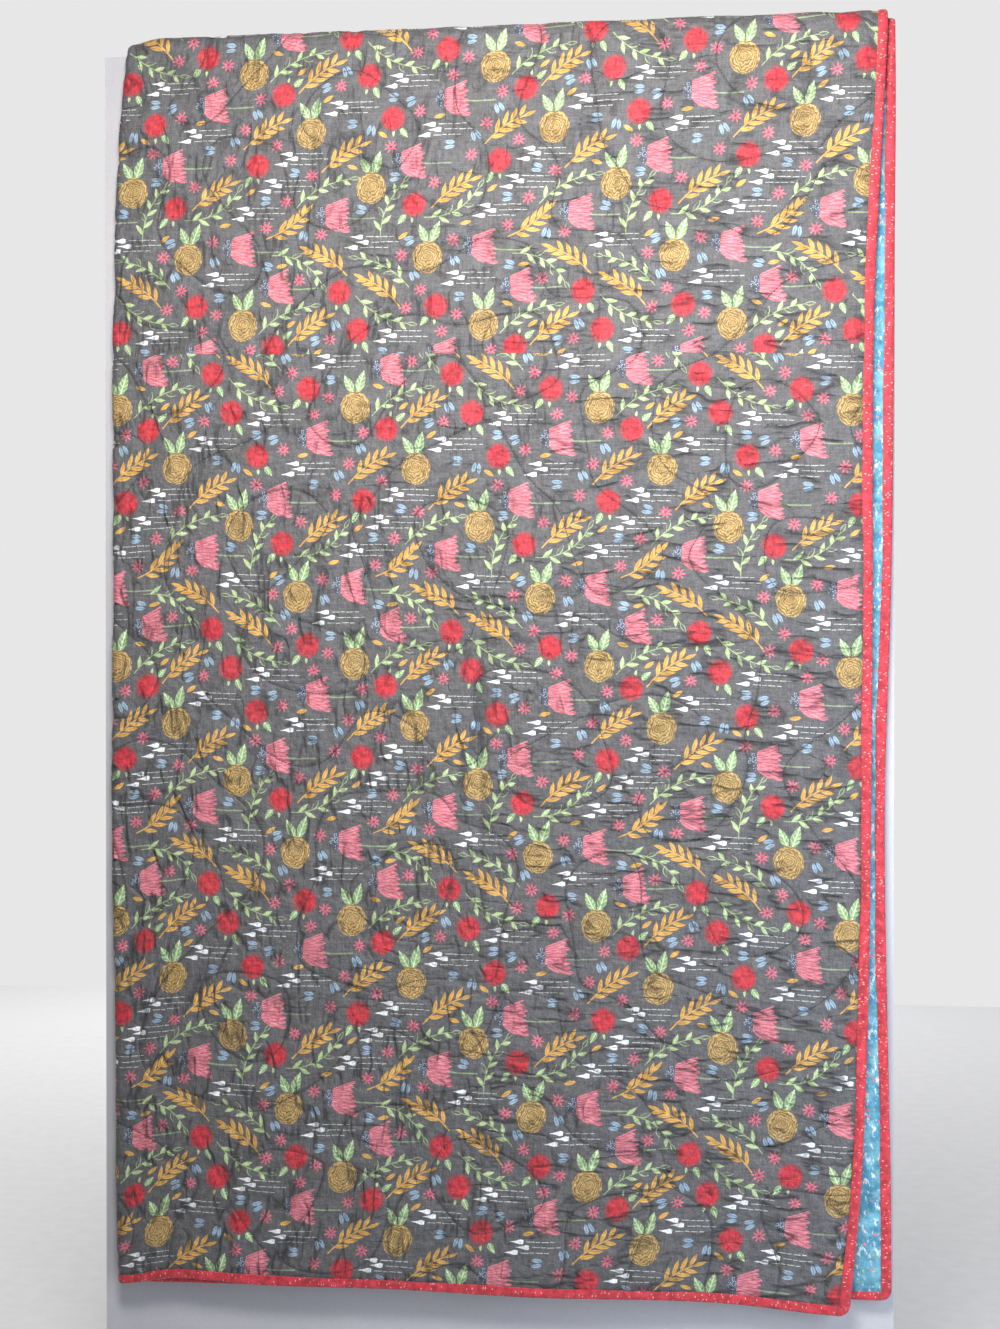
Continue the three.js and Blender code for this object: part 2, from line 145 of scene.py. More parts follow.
# How much lower the hems hang, by the share of the way along them from the outer half's open edge
HEM_COLUMNS = ("along", "lower")
FRONT_HEM = (
    (0, 5), (0.025, 3), (0.07, -3), (0.22, -4), (0.3, -6), (0.38, -5),
    (0.44, -8), (0.49, 2), (0.54, 0), (0.75, -4), (1, -9),
)
BACK_HEM = ((0, -4), (0.2, 2), (0.49, 4), (0.75, 0), (1, -6))

# Low waves of the hanging cloth: the share of each, its lengths across and down, and its phase
HANGING_WAVES = ((0.65, 118, 900, 0.7), (0.35, 61, -520, 2.1))


def curve_through(table, names):
    """A smooth function for each column of a table, read by its first column."""
    rows = np.array(table, float)
    at = rows[:, 0]
    curves = {}
    for index, name in enumerate(names[1:], start=1):
        value = rows[:, index]
        slope = np.gradient(value, at)
        flat = np.zeros(len(at), bool)
        flat[1:-1] = (value[1:-1] - value[:-2]) * (value[2:] - value[1:-1]) <= 0
        slope[flat] = 0
        curves[name] = (at, value, slope)

    def read(name, where):
        at, value, slope = curves[name]
        where = np.clip(where, at[0], at[-1])
        high = np.clip(np.searchsorted(at, where, side="right"), 1, len(at) - 1)
        low = high - 1
        width = at[high] - at[low]
        t = (where - at[low]) / width
        return (
            value[low] * (1 + 2 * t) * (1 - t) ** 2
            + slope[low] * width * t * (1 - t) ** 2
            + value[high] * t * t * (3 - 2 * t)
            + slope[high] * width * t * t * (t - 1)
        )

    return read


front_hang = curve_through(FRONT_HANG, HANG_COLUMNS)
back_hang = curve_through(BACK_HANG, HANG_COLUMNS)
front_hem = curve_through(FRONT_HEM, HEM_COLUMNS)
back_hem = curve_through(BACK_HEM, HEM_COLUMNS)


def hang(name, v):
    """A column of the hang tables at the cloth's height v."""
    front = front_hang(name, FRONT_DROP - v)
    behind = back_hang(name, v - V_BACK_TOP)
    return np.where(v < (V_TOP_START + V_TOP_END) / 2, front, behind)


def section(v):
    """The folded section at v: the outer half's flat width, the fold's radius and centre, both edges."""
    radius = hang("step", v) / 2
    outer_edge = hang("outer_edge", v) - BOARD_WIDTH / 2
    inner_edge = hang("inner_edge", v) - BOARD_WIDTH / 2
    centre = hang("fold", v) - BOARD_WIDTH / 2 + radius
    return outer_edge - centre, radius, centre, outer_edge, inner_edge


def section_length(v):
    width, radius, centre, _, inner_edge = section(v)
    return width + math.pi * radius + inner_edge - centre


def smoothstep(low, high, value):
    t = np.clip((value - low) / (high - low), 0, 1)
    return t * t * (3 - 2 * t)


def across_fold(u, v, height):
    """The folded section's x, how far out it is from the inner half, and what the height adds outwards."""
    width, radius, centre, outer_edge, _ = section(v)
    past = u - width
    angle = np.clip(past / radius, 0, math.pi)
    x = np.where(past <= 0, outer_edge - u, centre - radius * np.sin(angle))
    x = np.where(past >= math.pi * radius, centre + past - math.pi * radius, x)
    return x - height * np.sin(angle), radius + radius * np.cos(angle), height * np.cos(angle)


def off_the_board(u, v, x, drop, share):
    """How far the inner half's middle stands off the board: waving where it hangs, resting on top."""
    wave = sum(part * np.sin(x / wide + drop / high + phase) for part, wide, high, phase in HANGING_WAVES)
    hanging = hang("offset", v) + hang("wave", v) * wave
    near_edge = np.minimum(u, section_length(v) - u)
    rest = REST_GAP + HALF_SHEETS + EDGE_LIFT * (1 - smoothstep(BINDING_WIDTH, EDGE_TAPER, near_edge))
    dip = smoothstep(0, 1 / 3, np.minimum(share, 1 - share))
    over = CORNER_OFFSET + (rest - CORNER_OFFSET) * dip
    return np.where((v > V_FRONT_TOP) & (v < V_BACK_TOP), over, hanging)


def lowered(u, v):
    """How much lower a flat point hangs for the uneven hems and for the cloth's slant."""
    along = u / section_length(v)
    front = front_hem("lower", along) * np.clip(1 - v / FRONT_DROP, 0, 1)
    back = back_hem("lower", along) * np.clip(1 - (FULL_LENGTH - v) / BACK_DROP, 0, 1)
    return front + back + hang("slant", v) * (0.25 - along) * 2


def slumped(v, x, across):
    """How far the fold's thick end sinks where it runs over the board."""
    _, radius, centre, _, _ = section(v)
    near_fold = 1 - smoothstep(-HALF_SHEETS, SLUMP_WIDTH, x - centre + radius)
    started = smoothstep(V_FRONT_TOP - SLUMP_REACH, V_TOP_START, v)
    ended = smoothstep(V_TOP_END, V_BACK_TOP + SLUMP_REACH, v)
    return FOLD_SLUMP * near_fold * across / (2 * radius) * started * (1 - ended)


def drape(u, v, height):
    """Where flat points of the cloth lie once draped, in millimetres, raised by height over its middle."""
    u = np.asarray(u, float)
    v = np.asarray(v, float)
    x, across, raised = across_fold(u, v, height)
    in_front = v < V_TOP_START
    drop = np.where(in_front, FRONT_DROP - v, v - V_BACK_TOP)
    share = np.clip((v - V_TOP_START) / (V_TOP_END - V_TOP_START), 0, 1)
    offset = off_the_board(u, v, x, drop, share) + across + raised
    turned = np.where(in_front, v - V_FRONT_TOP, V_BACK_TOP - v) / CORNER_LENGTH
    turn = np.clip(turned, 0, 1) * math.pi / 2
    y = np.where(in_front, -1, 1) * (BOARD_HALF + offset * np.cos(turn))
    y = np.where(in_front | (v > V_TOP_END), y, -BOARD_HALF + 2 * BOARD_HALF * share)
    z = BOARD_TOP + offset * np.sin(turn) - np.clip(drop, 0, None) * (turn == 0)
    z = z - lowered(u, v) - slumped(v, x, across)
    return np.stack((x, y, z), axis=-1)


# The print: ordinary flowers and leaves, drawn here in millimetres. A motif is a list of patches, each with a
# material's name, an outline and a frame, which is the patch's own unit axes for its shading.
REPEAT_WIDTH = 246
REPEAT_HEIGHT = 258
PRINT_SEED = 11
PLACING_TRIES = 700

# Where a repeat starts on each panel of the flat cloth
LOWER_SHIFT = (31, 12)
UPPER_SHIFT = (148, 95)


def moved(x, y, angle=0.0, stretch_x=1.0, stretch_y=1.0):
    """A turn by an angle in degrees and a move, after a stretch, as a matrix."""
    turn = math.radians(angle)
    cosine, sine = math.cos(turn), math.sin(turn)
    return np.array((
        (cosine * stretch_x, -sine * stretch_y, x),
        (sine * stretch_x, cosine * stretch_y, y),
        (0, 0, 1),
    ))


def apply(matrix, points):
    points = np.asarray(points, float)
    return points @ matrix[:2, :2].T + matrix[:2, 2]


def patch(material, outline, frame):
    return {"material": material, "outline": apply(frame, outline), "frame": frame}


LEAF = ((0, 0), (0.16, -0.55), (0.42, -1), (0.72, -0.72), (1, 0), (0.76, 0.66), (0.46, 1), (0.18, 0.62))
SLIM_LEAF = ((0, 0), (0.3, -0.9), (0.68, -0.8), (1, 0), (0.66, 0.9), (0.28, 0.75))
WILLOW_LEAF = ((0, 0), (0.2, -0.62), (0.42, -1), (0.7, -0.8), (1, 0), (0.66, 0.55), (0.4, 0.75), (0.16, 0.4))


def leaf(material, x, y, angle, length, width, shape=LEAF):
    return patch(material, shape, moved(x, y, angle, length, width / 2))


def stroke(material, points, width):
    """A thin line of a width through points."""
    points = np.asarray(points, float)
    along = np.gradient(points, axis=0)
    along /= np.linalg.norm(along, axis=1)[:, None]
    side = np.stack((-along[:, 1], along[:, 0]), axis=1) * width / 2
    outline = np.concatenate((points + side, (points - side)[::-1]))
    return {"material": material, "outline": outline, "frame": np.eye(3)}


def disc(material, x, y, radius, corners, ragged, seed, squash=1.0):
    rng = random.Random(seed)
    outline = []
    for k in range(corners):
        angle = 2 * math.pi * k / corners
        reach = 1 + ragged * rng.uniform(-1, 1)
        outline.append((reach * math.cos(angle), reach * math.sin(angle)))
    return patch(material, outline, moved(x, y, 0, radius, radius * squash))


def bow(length, rise, steps):
    """Points along a gentle bow, and the angle there in degrees."""
    points = []
    angles = []
    for k in range(steps + 1):
        t = k / steps
        points.append((length * t, rise * 4 * t * (1 - t)))
        angles.append(math.degrees(math.atan2(rise * 4 * (1 - 2 * t), length)))
    return points, angles


def round_rose(rng):
    return [
        leaf("big_leaf", -1, 13, 118, 22, 9),
        leaf("big_leaf", 2, 13, 74, 25, 10),
        disc("rose", 0, 0, 15.0, 30, 0.035, rng.random(), 1.08),
    ]


def pompom(rng):
    side = rng.choice((-1, 1))
    down = rng.choice((-1, 1))
    return [
        leaf("big_leaf", side * 7, down * 9, 90 - side * (90 - down * 52), 14, 6.5),
        leaf("vine_leaf", side * 1, down * 11, 90 - side * (90 - down * 88), 8, 3.2, SLIM_LEAF),
        disc("pompom", 0, 0, 13.2, 40, 0.06, rng.random(), 1.04),
    ]


def coneflower(rng):
    """A fan of narrow petals seen from the side, a dotted cone before it and a stalk behind."""
    petals = [(-9.5, -7), (-8.5, 0), (-9.5, 7), (-7, 10)]
    for k in range(8):
        height = 16.5 - 4.7 * k
        reach = 15.5 - 0.16 * height + rng.uniform(-1.8, 1.8)
        petals.append((reach - 1.2, height + 1.4))
        petals.append((reach, height - 0.6))
        petals.append((reach - 4.5, height - 2.2))
    petals += [(-1, -15.5), (-7, -10)]
    cone = [(-8.8, 9.6), (-8.0, 0), (-8.8, -9.6), (-12.8, -9), (-16.6, -5), (-18, 0), (-16.6, 5), (-12.8, 9)]
    return [
        stroke("stem", ((12, -3), (24, -3.6), (43, -3)), 1.5),
        patch("petals", petals, np.eye(3)),
        patch("cone", cone, np.eye(3)),
    ]


def leaf_sprig(rng):
    """Slim pointed leaves in pairs up a bowed stalk."""
    points, angles = bow(46, rng.choice((-3, 3)), 5)
    patches = [stroke("ochre_leaf", points, 1.3)]
    for k in range(1, 5):
        x, y = points[k]
        length = 17.5 - 1.5 * abs(k - 2)
        for side in (1, -1):
            place = x + 3 * side + 2
            patches.append(leaf("ochre_leaf", place, y, angles[k] + side * 35, length, 5.2, WILLOW_LEAF))
    patches.append(leaf("ochre_leaf", points[5][0] - 1, points[5][1], angles[5], 15, 4.4, WILLOW_LEAF))
    return patches


def leafy_vine(rng):
    """Leaves in turn left and right of a thin bowed stalk, some of them drawn only in outline."""
    rise = rng.choice((-9, -6, 6, 9))
    points, angles = bow(60, rise, 9)
    patches = [stroke("vine_stem", points, 0.9)]
    for k in range(1, 9):
        x, y = points[k]
        side = 1 if k % 2 else -1
        kind = "open_leaf" if k in (3, 6) else "vine_leaf"
        patches.append(leaf(kind, x, y, angles[k] + side * 38, 14 - 0.5 * k, 5.2, WILLOW_LEAF))
    patches.append(leaf("open_leaf", points[9][0], points[9][1], angles[9], 11, 4.4))
    return patches


def leaf_pair(_):
    return [
        leaf("pale_leaf", -6.5, 2.2, 12, 12, 4.8, SLIM_LEAF),
        leaf("pale_leaf", -4.5, -4.2, 28, 12, 4.6, SLIM_LEAF),
    ]


# The turn from one petal of the ray flower to the next
PETAL_TURN = math.pi / 4


def ray_flower(rng):
    """Eight narrow petals round a point, which the material draws a little apart."""
    outline = []
    for k in range(8):
        longer = 1 + 0.1 * rng.uniform(-1, 1)
        for turn, reach in ((-0.5, 0.3), (-0.24, 0.66), (-0.06, 0.98), (0.2, 0.72)):
            angle = (k + turn) * PETAL_TURN
            reach *= longer
            outline.append((reach * math.cos(angle), reach * math.sin(angle)))
    return [patch("ray_flower", outline, moved(0, 0, 0, 7.6, 7.6))]


# A bud's outline, where the rows of a spray start, and the bud's and the dashes' places in a row
BUD = ((0, 0), (5.2, -0.8), (10, -2.4), (13.6, -2.2), (14, 1.7), (11, 2.5), (5.2, 0.9))
BUD_PLACES = ((0, 5.5), (6, 0), (-5, -5.5))
BUD_LEAD = 19
BUD_DASHES = ((-2, 6), (7, 11.5), (13, 20), (21.5, 26))
DASH_WIDTH = 0.68


def bud_spray(rng):
    """Small pale buds, each with a broken line of thin dashes behind it."""
    patches = []
    for x, y in BUD_PLACES:
        patches.append(patch("bud", BUD, moved(x - BUD_LEAD, y, rng.uniform(-3, 3))))
        for start, end in BUD_DASHES:
            wobble = rng.uniform(-0.4, 0.4)
            patches.append(stroke("tail", ((x + start, y + wobble), (x + end, y + wobble * 0.4)), DASH_WIDTH))
    return patches


def lone_leaf(_):
    return [leaf("ochre_leaf", -6, 0, 0, 12.5, 4.6)]


# Each kind with how many a repeat holds, the angles that it takes and the room that it keeps around itself
MOTIFS = (
    (round_rose, 4, (-3, 4, 0, 3), 2.4),
    (coneflower, 5, (0, 2, -2, 1, -1), 2.0),
    (leaf_sprig, 7, (36, 142, 38, 146, 34), 1.8),
    (bud_spray, 8, (0, 1, -1), 1.6),
    (pompom, 7, (0, 10, -12), 2.0),
    (leafy_vine, 9, (70, 100, 28, 150, -60, -28, 118), 1.7),
    (ray_flower, 19, (0, 20, 40), 1.5),
    (leaf_pair, 19, (0, 60, -20, 95, -35), 1.3),
    (lone_leaf, 10, (12, -18, 35, -32), 1.2),
)
FEWEST_ROOM = 0.45
EVENNESS = 0.62
ROW_WEIGHT = 2.2
ROW_BASE = 0.2
FAR_AWAY = 1e3


def outline_dots(patches, spacing=2.0):
    """Points along the outlines of a motif's patches and inside them."""
    dots = []
    for piece in patches:
        ring = piece["outline"]
        middle = ring.mean(axis=0)
        for start, end in zip(ring, np.roll(ring, -1, axis=0)):
            steps = max(1, int(np.linalg.norm(end - start) / spacing))
            side = start + (end - start) * np.arange(steps)[:, None] / steps
            dots += [side, middle + (side - middle) * 0.5]
        dots.append(middle[None])
    return np.concatenate(dots)


class Clearance:
    """How far each millimetre of the repeat lies from what is placed, over the repeat's edges as well."""

    def __init__(self):
        self.squares = np.full((REPEAT_HEIGHT, REPEAT_WIDTH), 1e6)

    def cells(self, dots):
        whole = np.round(dots).astype(int)
        return whole[:, 1] % REPEAT_HEIGHT, whole[:, 0] % REPEAT_WIDTH

    def at(self, dots):
        return math.sqrt(self.squares[self.cells(dots)].min())

    def place(self, dots):
        for row, column in set(zip(*self.cells(dots))):
            up = np.abs(np.arange(REPEAT_HEIGHT) - row)
            across = np.abs(np.arange(REPEAT_WIDTH) - column)
            up = np.minimum(up, REPEAT_HEIGHT - up) ** 2
            across = np.minimum(across, REPEAT_WIDTH - across) ** 2
            self.squares = np.minimum(self.squares, up[:, None] + across[None, :])


def lay_out_repeat():
    """Places each motif that fits in a wide space, clear of the rest and off its kind's rows and columns."""
    rng = random.Random(PRINT_SEED)
    size = np.array((REPEAT_WIDTH, REPEAT_HEIGHT), float)
    clearance = Clearance()
    placed = []
    for draw, count, angles, room in MOTIFS:
        even_gap = EVENNESS * math.sqrt(size[0] * size[1] / count)
        centres = []
        for _ in range(count):
            patches = draw(rng)
            dots = outline_dots(patches)
            best = (0, None)
            for _ in range(PLACING_TRIES):
                centre = np.array((rng.uniform(0, size[0]), rng.uniform(0, size[1])))
                matrix = moved(centre[0], centre[1], angles[rng.randrange(len(angles))])
                clear = clearance.at(apply(matrix, dots)) / room
                if clear <= best[0]:
                    continue
                gaps = [np.abs(centre - other) for other in centres]
                gaps = [np.minimum(gap, size - gap) for gap in gaps]
                nearest = min((np.linalg.norm(gap) for gap in gaps), default=FAR_AWAY)
                lined_up = min(((gap / size).min() * count for gap in gaps), default=1)
                score = min(clear, 2 * nearest / even_gap, ROW_WEIGHT * lined_up + ROW_BASE)
                if score > best[0]:
                    best = (score, matrix, centre)
            if best[0] < FEWEST_ROOM:
                continue
            matrix = best[1]
            centres.append(best[2])
            clearance.place(apply(matrix, dots))
            for piece in patches:
                placed.append({
                    "material": piece["material"],
                    "outline": apply(matrix, piece["outline"]),
                    "frame": matrix @ piece["frame"],
                })
    return placed


# The quilting: one wandering line, the level curve of a few crossed ripples, stitched all over the cloth
STITCH_WAVELENGTH = 118
STITCH_DIRECTIONS = 9
STITCH_SEED = 5
STITCH_GRID = 9
PUFF = 1.15
PUFF_SPREAD = 11
PUFF_POWER = 1.5
GROOVE = 0.42
GROOVE_SPREAD = 2.1
CRINKLE = 0.3
CRINKLE_FAR = 0.55
CRINKLE_NEAR = 0.75
CRINKLE_REACH = 12
UPRIGHT_FROM = 400
UPRIGHT_BLEND = 420

# Creases pressed or wrinkled into the front: u and v of both ends, the depth and the half width
CREASES = (
    (383, 0, 382, 200, 1.0, 5),
    (382, 330, 384, 760, 1.8, 5),
    (384, 760, 381, 1240, 0.7, 6),
    (362, 897, 286, 893, 1.8, 3.5),
    (340, 872, 210, 858, 1.3, 5),
    (250, 905, 120, 912, 1.0, 4),
    (150, 690, 60, 684, 1.3, 5),
    (105, 520, 10, 528, 1.3, 5),
    (230, 560, 90, 552, 1.0, 5),
    (310, 770, 190, 782, 1.0, 5),
    (560, 1220, 566, 1060, 1.3, 4),
    (515, 1190, 512, 1040, 1.1, 4),
    (662, 1180, 668, 1020, 1.1, 5),
    (436, 830, 430, 700, 1.1, 5),
    (610, 470, 640, 330, 1.0, 6),
    (470, 350, 380, 300, 1.0, 6),
    (690, 150, 560, 60, 1.4, 7),
    (330, 1130, 250, 1138, 1.1, 5),
    (210, 1180, 90, 1172, 1.1, 5),
)
CREASE_WANDER = 2.2
WANDER_LENGTH = 37
RIDGE_SHARE = 0.45
RIDGE_PLACE = 2.2
SEAM_TROUGH = 1.1
SEAM_SPREAD = 2.6
SEAM_ALLOWANCE = 9
ALLOWANCE_RISE = 0.5


def ripples(seed, count, wavelength_u, wavelength_v, spread):
    """Directions and phases of crossed ripples, as rows of (ku, kv, phase)."""
    rng = np.random.RandomState(seed)
    angle = np.pi * (np.arange(count) + rng.uniform(-0.3, 0.3, count)) / count
    scale = 2 * np.pi * rng.uniform(1 - spread, 1 + spread, count)
    phase = rng.uniform(0, 2 * np.pi, count)
    across = scale * np.cos(angle) / wavelength_u
    along = scale * np.sin(angle) / wavelength_v
    return np.stack((across, along, phase), axis=1)


STITCH_RIPPLES = ripples(STITCH_SEED, STITCH_DIRECTIONS, STITCH_WAVELENGTH, STITCH_WAVELENGTH, 0.12)
UPRIGHT_RIPPLES = ripples(seed=21, count=7, wavelength_u=15, wavelength_v=90, spread=0.35)
LEVEL_RIPPLES = ripples(seed=34, count=7, wavelength_u=80, wavelength_v=15, spread=0.35)
BROAD_RIPPLES = ripples(seed=47, count=6, wavelength_u=190, wavelength_v=170, spread=0.4)
LEAST_SLOPE = 0.012


def summed(waves, u, v):
    total = np.zeros(np.broadcast(u, v).shape)
    for across, along, phase in waves:
        total = total + np.cos(across * u + along * v + phase)
    return total / math.sqrt(len(waves) / 2)


def stitch_offset(u, v):
    """About how far a flat point lies from the nearest stitched line, below 0 on one side of it."""
    step = 0.5
    value = summed(STITCH_RIPPLES, u, v)
    slope_u = (summed(STITCH_RIPPLES, u + step, v) - value) / step
    slope_v = (summed(STITCH_RIPPLES, u, v + step) - value) / step
    return value / np.maximum(np.hypot(slope_u, slope_v), LEAST_SLOPE)


def edge_distance(u, v):
    sides = np.minimum(u, section_length(v) - u)
    return np.minimum(sides, np.minimum(v, FULL_LENGTH - v))


def crease_depth(u, v):
    """Soft troughs, each with a low ridge on both sides, that wander a little and fade at their ends."""
    depth = np.zeros(np.broadcast(u, v).shape)
    for u0, v0, u1, v1, deep, spread in CREASES:
        along_u, along_v = u1 - u0, v1 - v0
        length = math.hypot(along_u, along_v)
        share = ((u - u0) * along_u + (v - v0) * along_v) / length ** 2
        wander = CREASE_WANDER * np.sin((u + v) / WANDER_LENGTH + deep * 9)
        aside = ((u - u0) * along_v - (v - v0) * along_u) / length + wander
        fade = smoothstep(-0.05, 0.2, share) * (1 - smoothstep(0.8, 1.05, share))
        ridges = np.exp(-((np.abs(aside) - RIDGE_PLACE * spread) / spread) ** 2)
        depth = depth + deep * fade * (np.exp(-(aside / spread) ** 2) - RIDGE_SHARE * ridges)
    return depth


def relief(u, v):
    """The charcoal face's height over the middle of the cloth."""
    near = np.abs(stitch_offset(u, v))
    puff = PUFF * (1 - np.exp(-(near / PUFF_SPREAD) ** PUFF_POWER))
    puff = puff - GROOVE * np.exp(-(near / GROOVE_SPREAD) ** 2)
    upright = smoothstep(-0.4, 0.4, summed(BROAD_RIPPLES, u, v) + (u - UPRIGHT_FROM) / UPRIGHT_BLEND)
    crinkle = summed(UPRIGHT_RIPPLES, u, v) * upright + summed(LEVEL_RIPPLES, u, v) * (1 - upright)
    crinkle = CRINKLE * crinkle * (CRINKLE_FAR + CRINKLE_NEAR * np.exp(-near / CRINKLE_REACH))
    from_seam = v - SEAM_V
    seam = -SEAM_TROUGH * np.exp(-(from_seam / SEAM_SPREAD) ** 2)
    allowance = smoothstep(-SEAM_ALLOWANCE - 3, -SEAM_ALLOWANCE, from_seam) * (from_seam < 0)
    seam = seam + ALLOWANCE_RISE * allowance
    edge = smoothstep(BINDING_WIDTH, EDGE_TAPER, edge_distance(u, v))
    full = HALF_EDGE + (HALF_SHEETS - HALF_EDGE) * edge
    return full + edge * (puff + crinkle + seam - crease_depth(u, v))


def draped_normals(u, v, height_at):
    """The outward direction of a draped face, from small steps across the flat cloth."""
    step = 0.6
    across = drape(u + step, v, height_at(u + step, v)) - drape(u - step, v, height_at(u - step, v))
    along = drape(u, v + step, height_at(u, v + step)) - drape(u, v - step, height_at(u, v - step))
    normal = np.cross(along, across)
    return normal / np.linalg.norm(normal, axis=1)[:, None]


# A grid cell's sides, by the numbers of its corners
CELL_SIDES = ((0, 1), (1, 2), (3, 2), (0, 3))


def level_curves(u_range, v_range):
    """The stitched line inside a flat rectangle: its corner points, and chains of their numbers."""
    us = np.arange(u_range[0], u_range[1] + STITCH_GRID, STITCH_GRID)
    vs = np.arange(v_range[0], v_range[1] + STITCH_GRID, STITCH_GRID)
    value = summed(STITCH_RIPPLES, us[None, :], vs[:, None])
    points = []
    numbers = {}
    links = {}

    def crossing(cell_a, cell_b):
        key = (cell_a, cell_b)
        if key not in numbers:
            low, high = value[cell_a], value[cell_b]
            share = low / (low - high)
            start = np.array((us[cell_a[1]], vs[cell_a[0]]))
            end = np.array((us[cell_b[1]], vs[cell_b[0]]))
            numbers[key] = len(points)
            points.append(start + (end - start) * share)
        return numbers[key]

    for j in range(len(vs) - 1):
        for i in range(len(us) - 1):
            corners = ((j, i), (j, i + 1), (j + 1, i + 1), (j + 1, i))
            sides = [(corners[a], corners[b]) for a, b in CELL_SIDES]
            met = [crossing(a, b) for a, b in sides if (value[a] > 0) != (value[b] > 0)]
            for a, b in zip(met[::2], met[1::2]):
                links.setdefault(a, []).append(b)
                links.setdefault(b, []).append(a)
    chains = []
    unused = set(links)
    ends = [number for number in links if len(links[number]) == 1]
    for start in ends + sorted(links):
        if start not in unused:
            continue
        chain = [start]
        unused.discard(start)
        while True:
            following = [n for n in links[chain[-1]] if n in unused]
            if not following:
                break
            chain.append(following[0])
            unused.discard(following[0])
        if len(links[start]) == 2 and start in links[chain[-1]] and len(chain) > 2:
            chain.append(start)
        chains.append(chain)
    return np.array(points), chains


# The flat sheets as meshes
HIDDEN_EDGE = 6
PRINTED_WIDTH = 800
RIM_CLEARANCE = 1.5
FILL_SPACING = 4.4
FILL_CLEARANCE = 1.7
FILL_JITTER = 0.7
FILL_MARGIN = 3
FILL_SEED = 3
ROW_JITTER = 0.6
PAST_MARGIN = 5
PAST_SPACING = 9
PLAIN_SPACING = 14
TURN_STEPS = 9
TURQUOISE_SPACING = 9
FOLD_STEPS = 12
INNER_COLUMNS = 26
RIM_TOLERANCE = 0.01

# Columns of the turquoise face as shares of its width: each stretch's start, end and steps
TURQUOISE_STRETCHES = ((0, 0.05, 20), (0.05, 0.95, 110), (0.95, 1, 20))


def heights(v_low, v_high, spacing):
    """Heights along the cloth, closer together where it turns over the board's edges."""
    stops = [v_low, V_FRONT_TOP, V_TOP_START, V_TOP_END, V_BACK_TOP, v_high]
    stops = [v for v in stops if v_low <= v <= v_high]
    rows = [stops[0]]
    for low, high in zip(stops, stops[1:]):
        turning = low in (V_FRONT_TOP, V_TOP_END)
        steps = TURN_STEPS if turning else max(1, round((high - low) / spacing))
        rows += [low + (high - low) * (k + 1) / steps for k in range(steps)]
    return np.array(rows)


def inside(points, v_low, v_high, margin=0.0):
    """Which flat points lie in a panel's printed stretch, by more than a margin."""
    low = (HIDDEN_EDGE + margin, v_low + margin)
    high = (PRINTED_WIDTH - margin, v_high - margin)
    return ((points > low) & (points < high)).all(axis=1)


def turns_clockwise(outline):
    after = np.roll(outline, -1, axis=0)
    return (outline[:, 0] * after[:, 1] - outline[:, 1] * after[:, 0]).sum() < 0


def filler_points(v_low, v_high, taken):
    """A loose even scatter of points, closer round the fold and the board's edges, clear of those taken."""
    rng = np.random.RandomState(FILL_SEED)
    rows = heights(v_low, v_high, FILL_SPACING)[1:-1]
    scattered = []
    for number, v in enumerate(rows):
        width, radius, _, _, _ = section(v)
        start = HIDDEN_EDGE + FILL_SPACING * (0.5 + 0.5 * (number % 2))
        flat = np.arange(start, width - FILL_MARGIN, FILL_SPACING)
        flat = flat + rng.uniform(-FILL_JITTER, FILL_JITTER, len(flat))
        fold = width + math.pi * radius * (np.arange(FOLD_STEPS + 1) / FOLD_STEPS)
        past = np.arange(fold[-1] + PAST_MARGIN, PRINTED_WIDTH - FILL_MARGIN, PAST_SPACING)
        turning = V_FRONT_TOP < v < V_TOP_START or V_TOP_END < v < V_BACK_TOP
        jitter = 0 if turning else ROW_JITTER
        for u in np.concatenate((flat, fold, past)):
            scattered.append((u, v + rng.uniform(-jitter, jitter)))
    scattered = np.array(scattered)
    tree = KDTree(len(taken))
    for number, (u, v) in enumerate(taken):
        tree.insert((u, v, 0), number)
    tree.balance()
    clear = [tree.find((u, v, 0))[2] > FILL_CLEARANCE for u, v in scattered]
    return scattered[np.array(clear)]


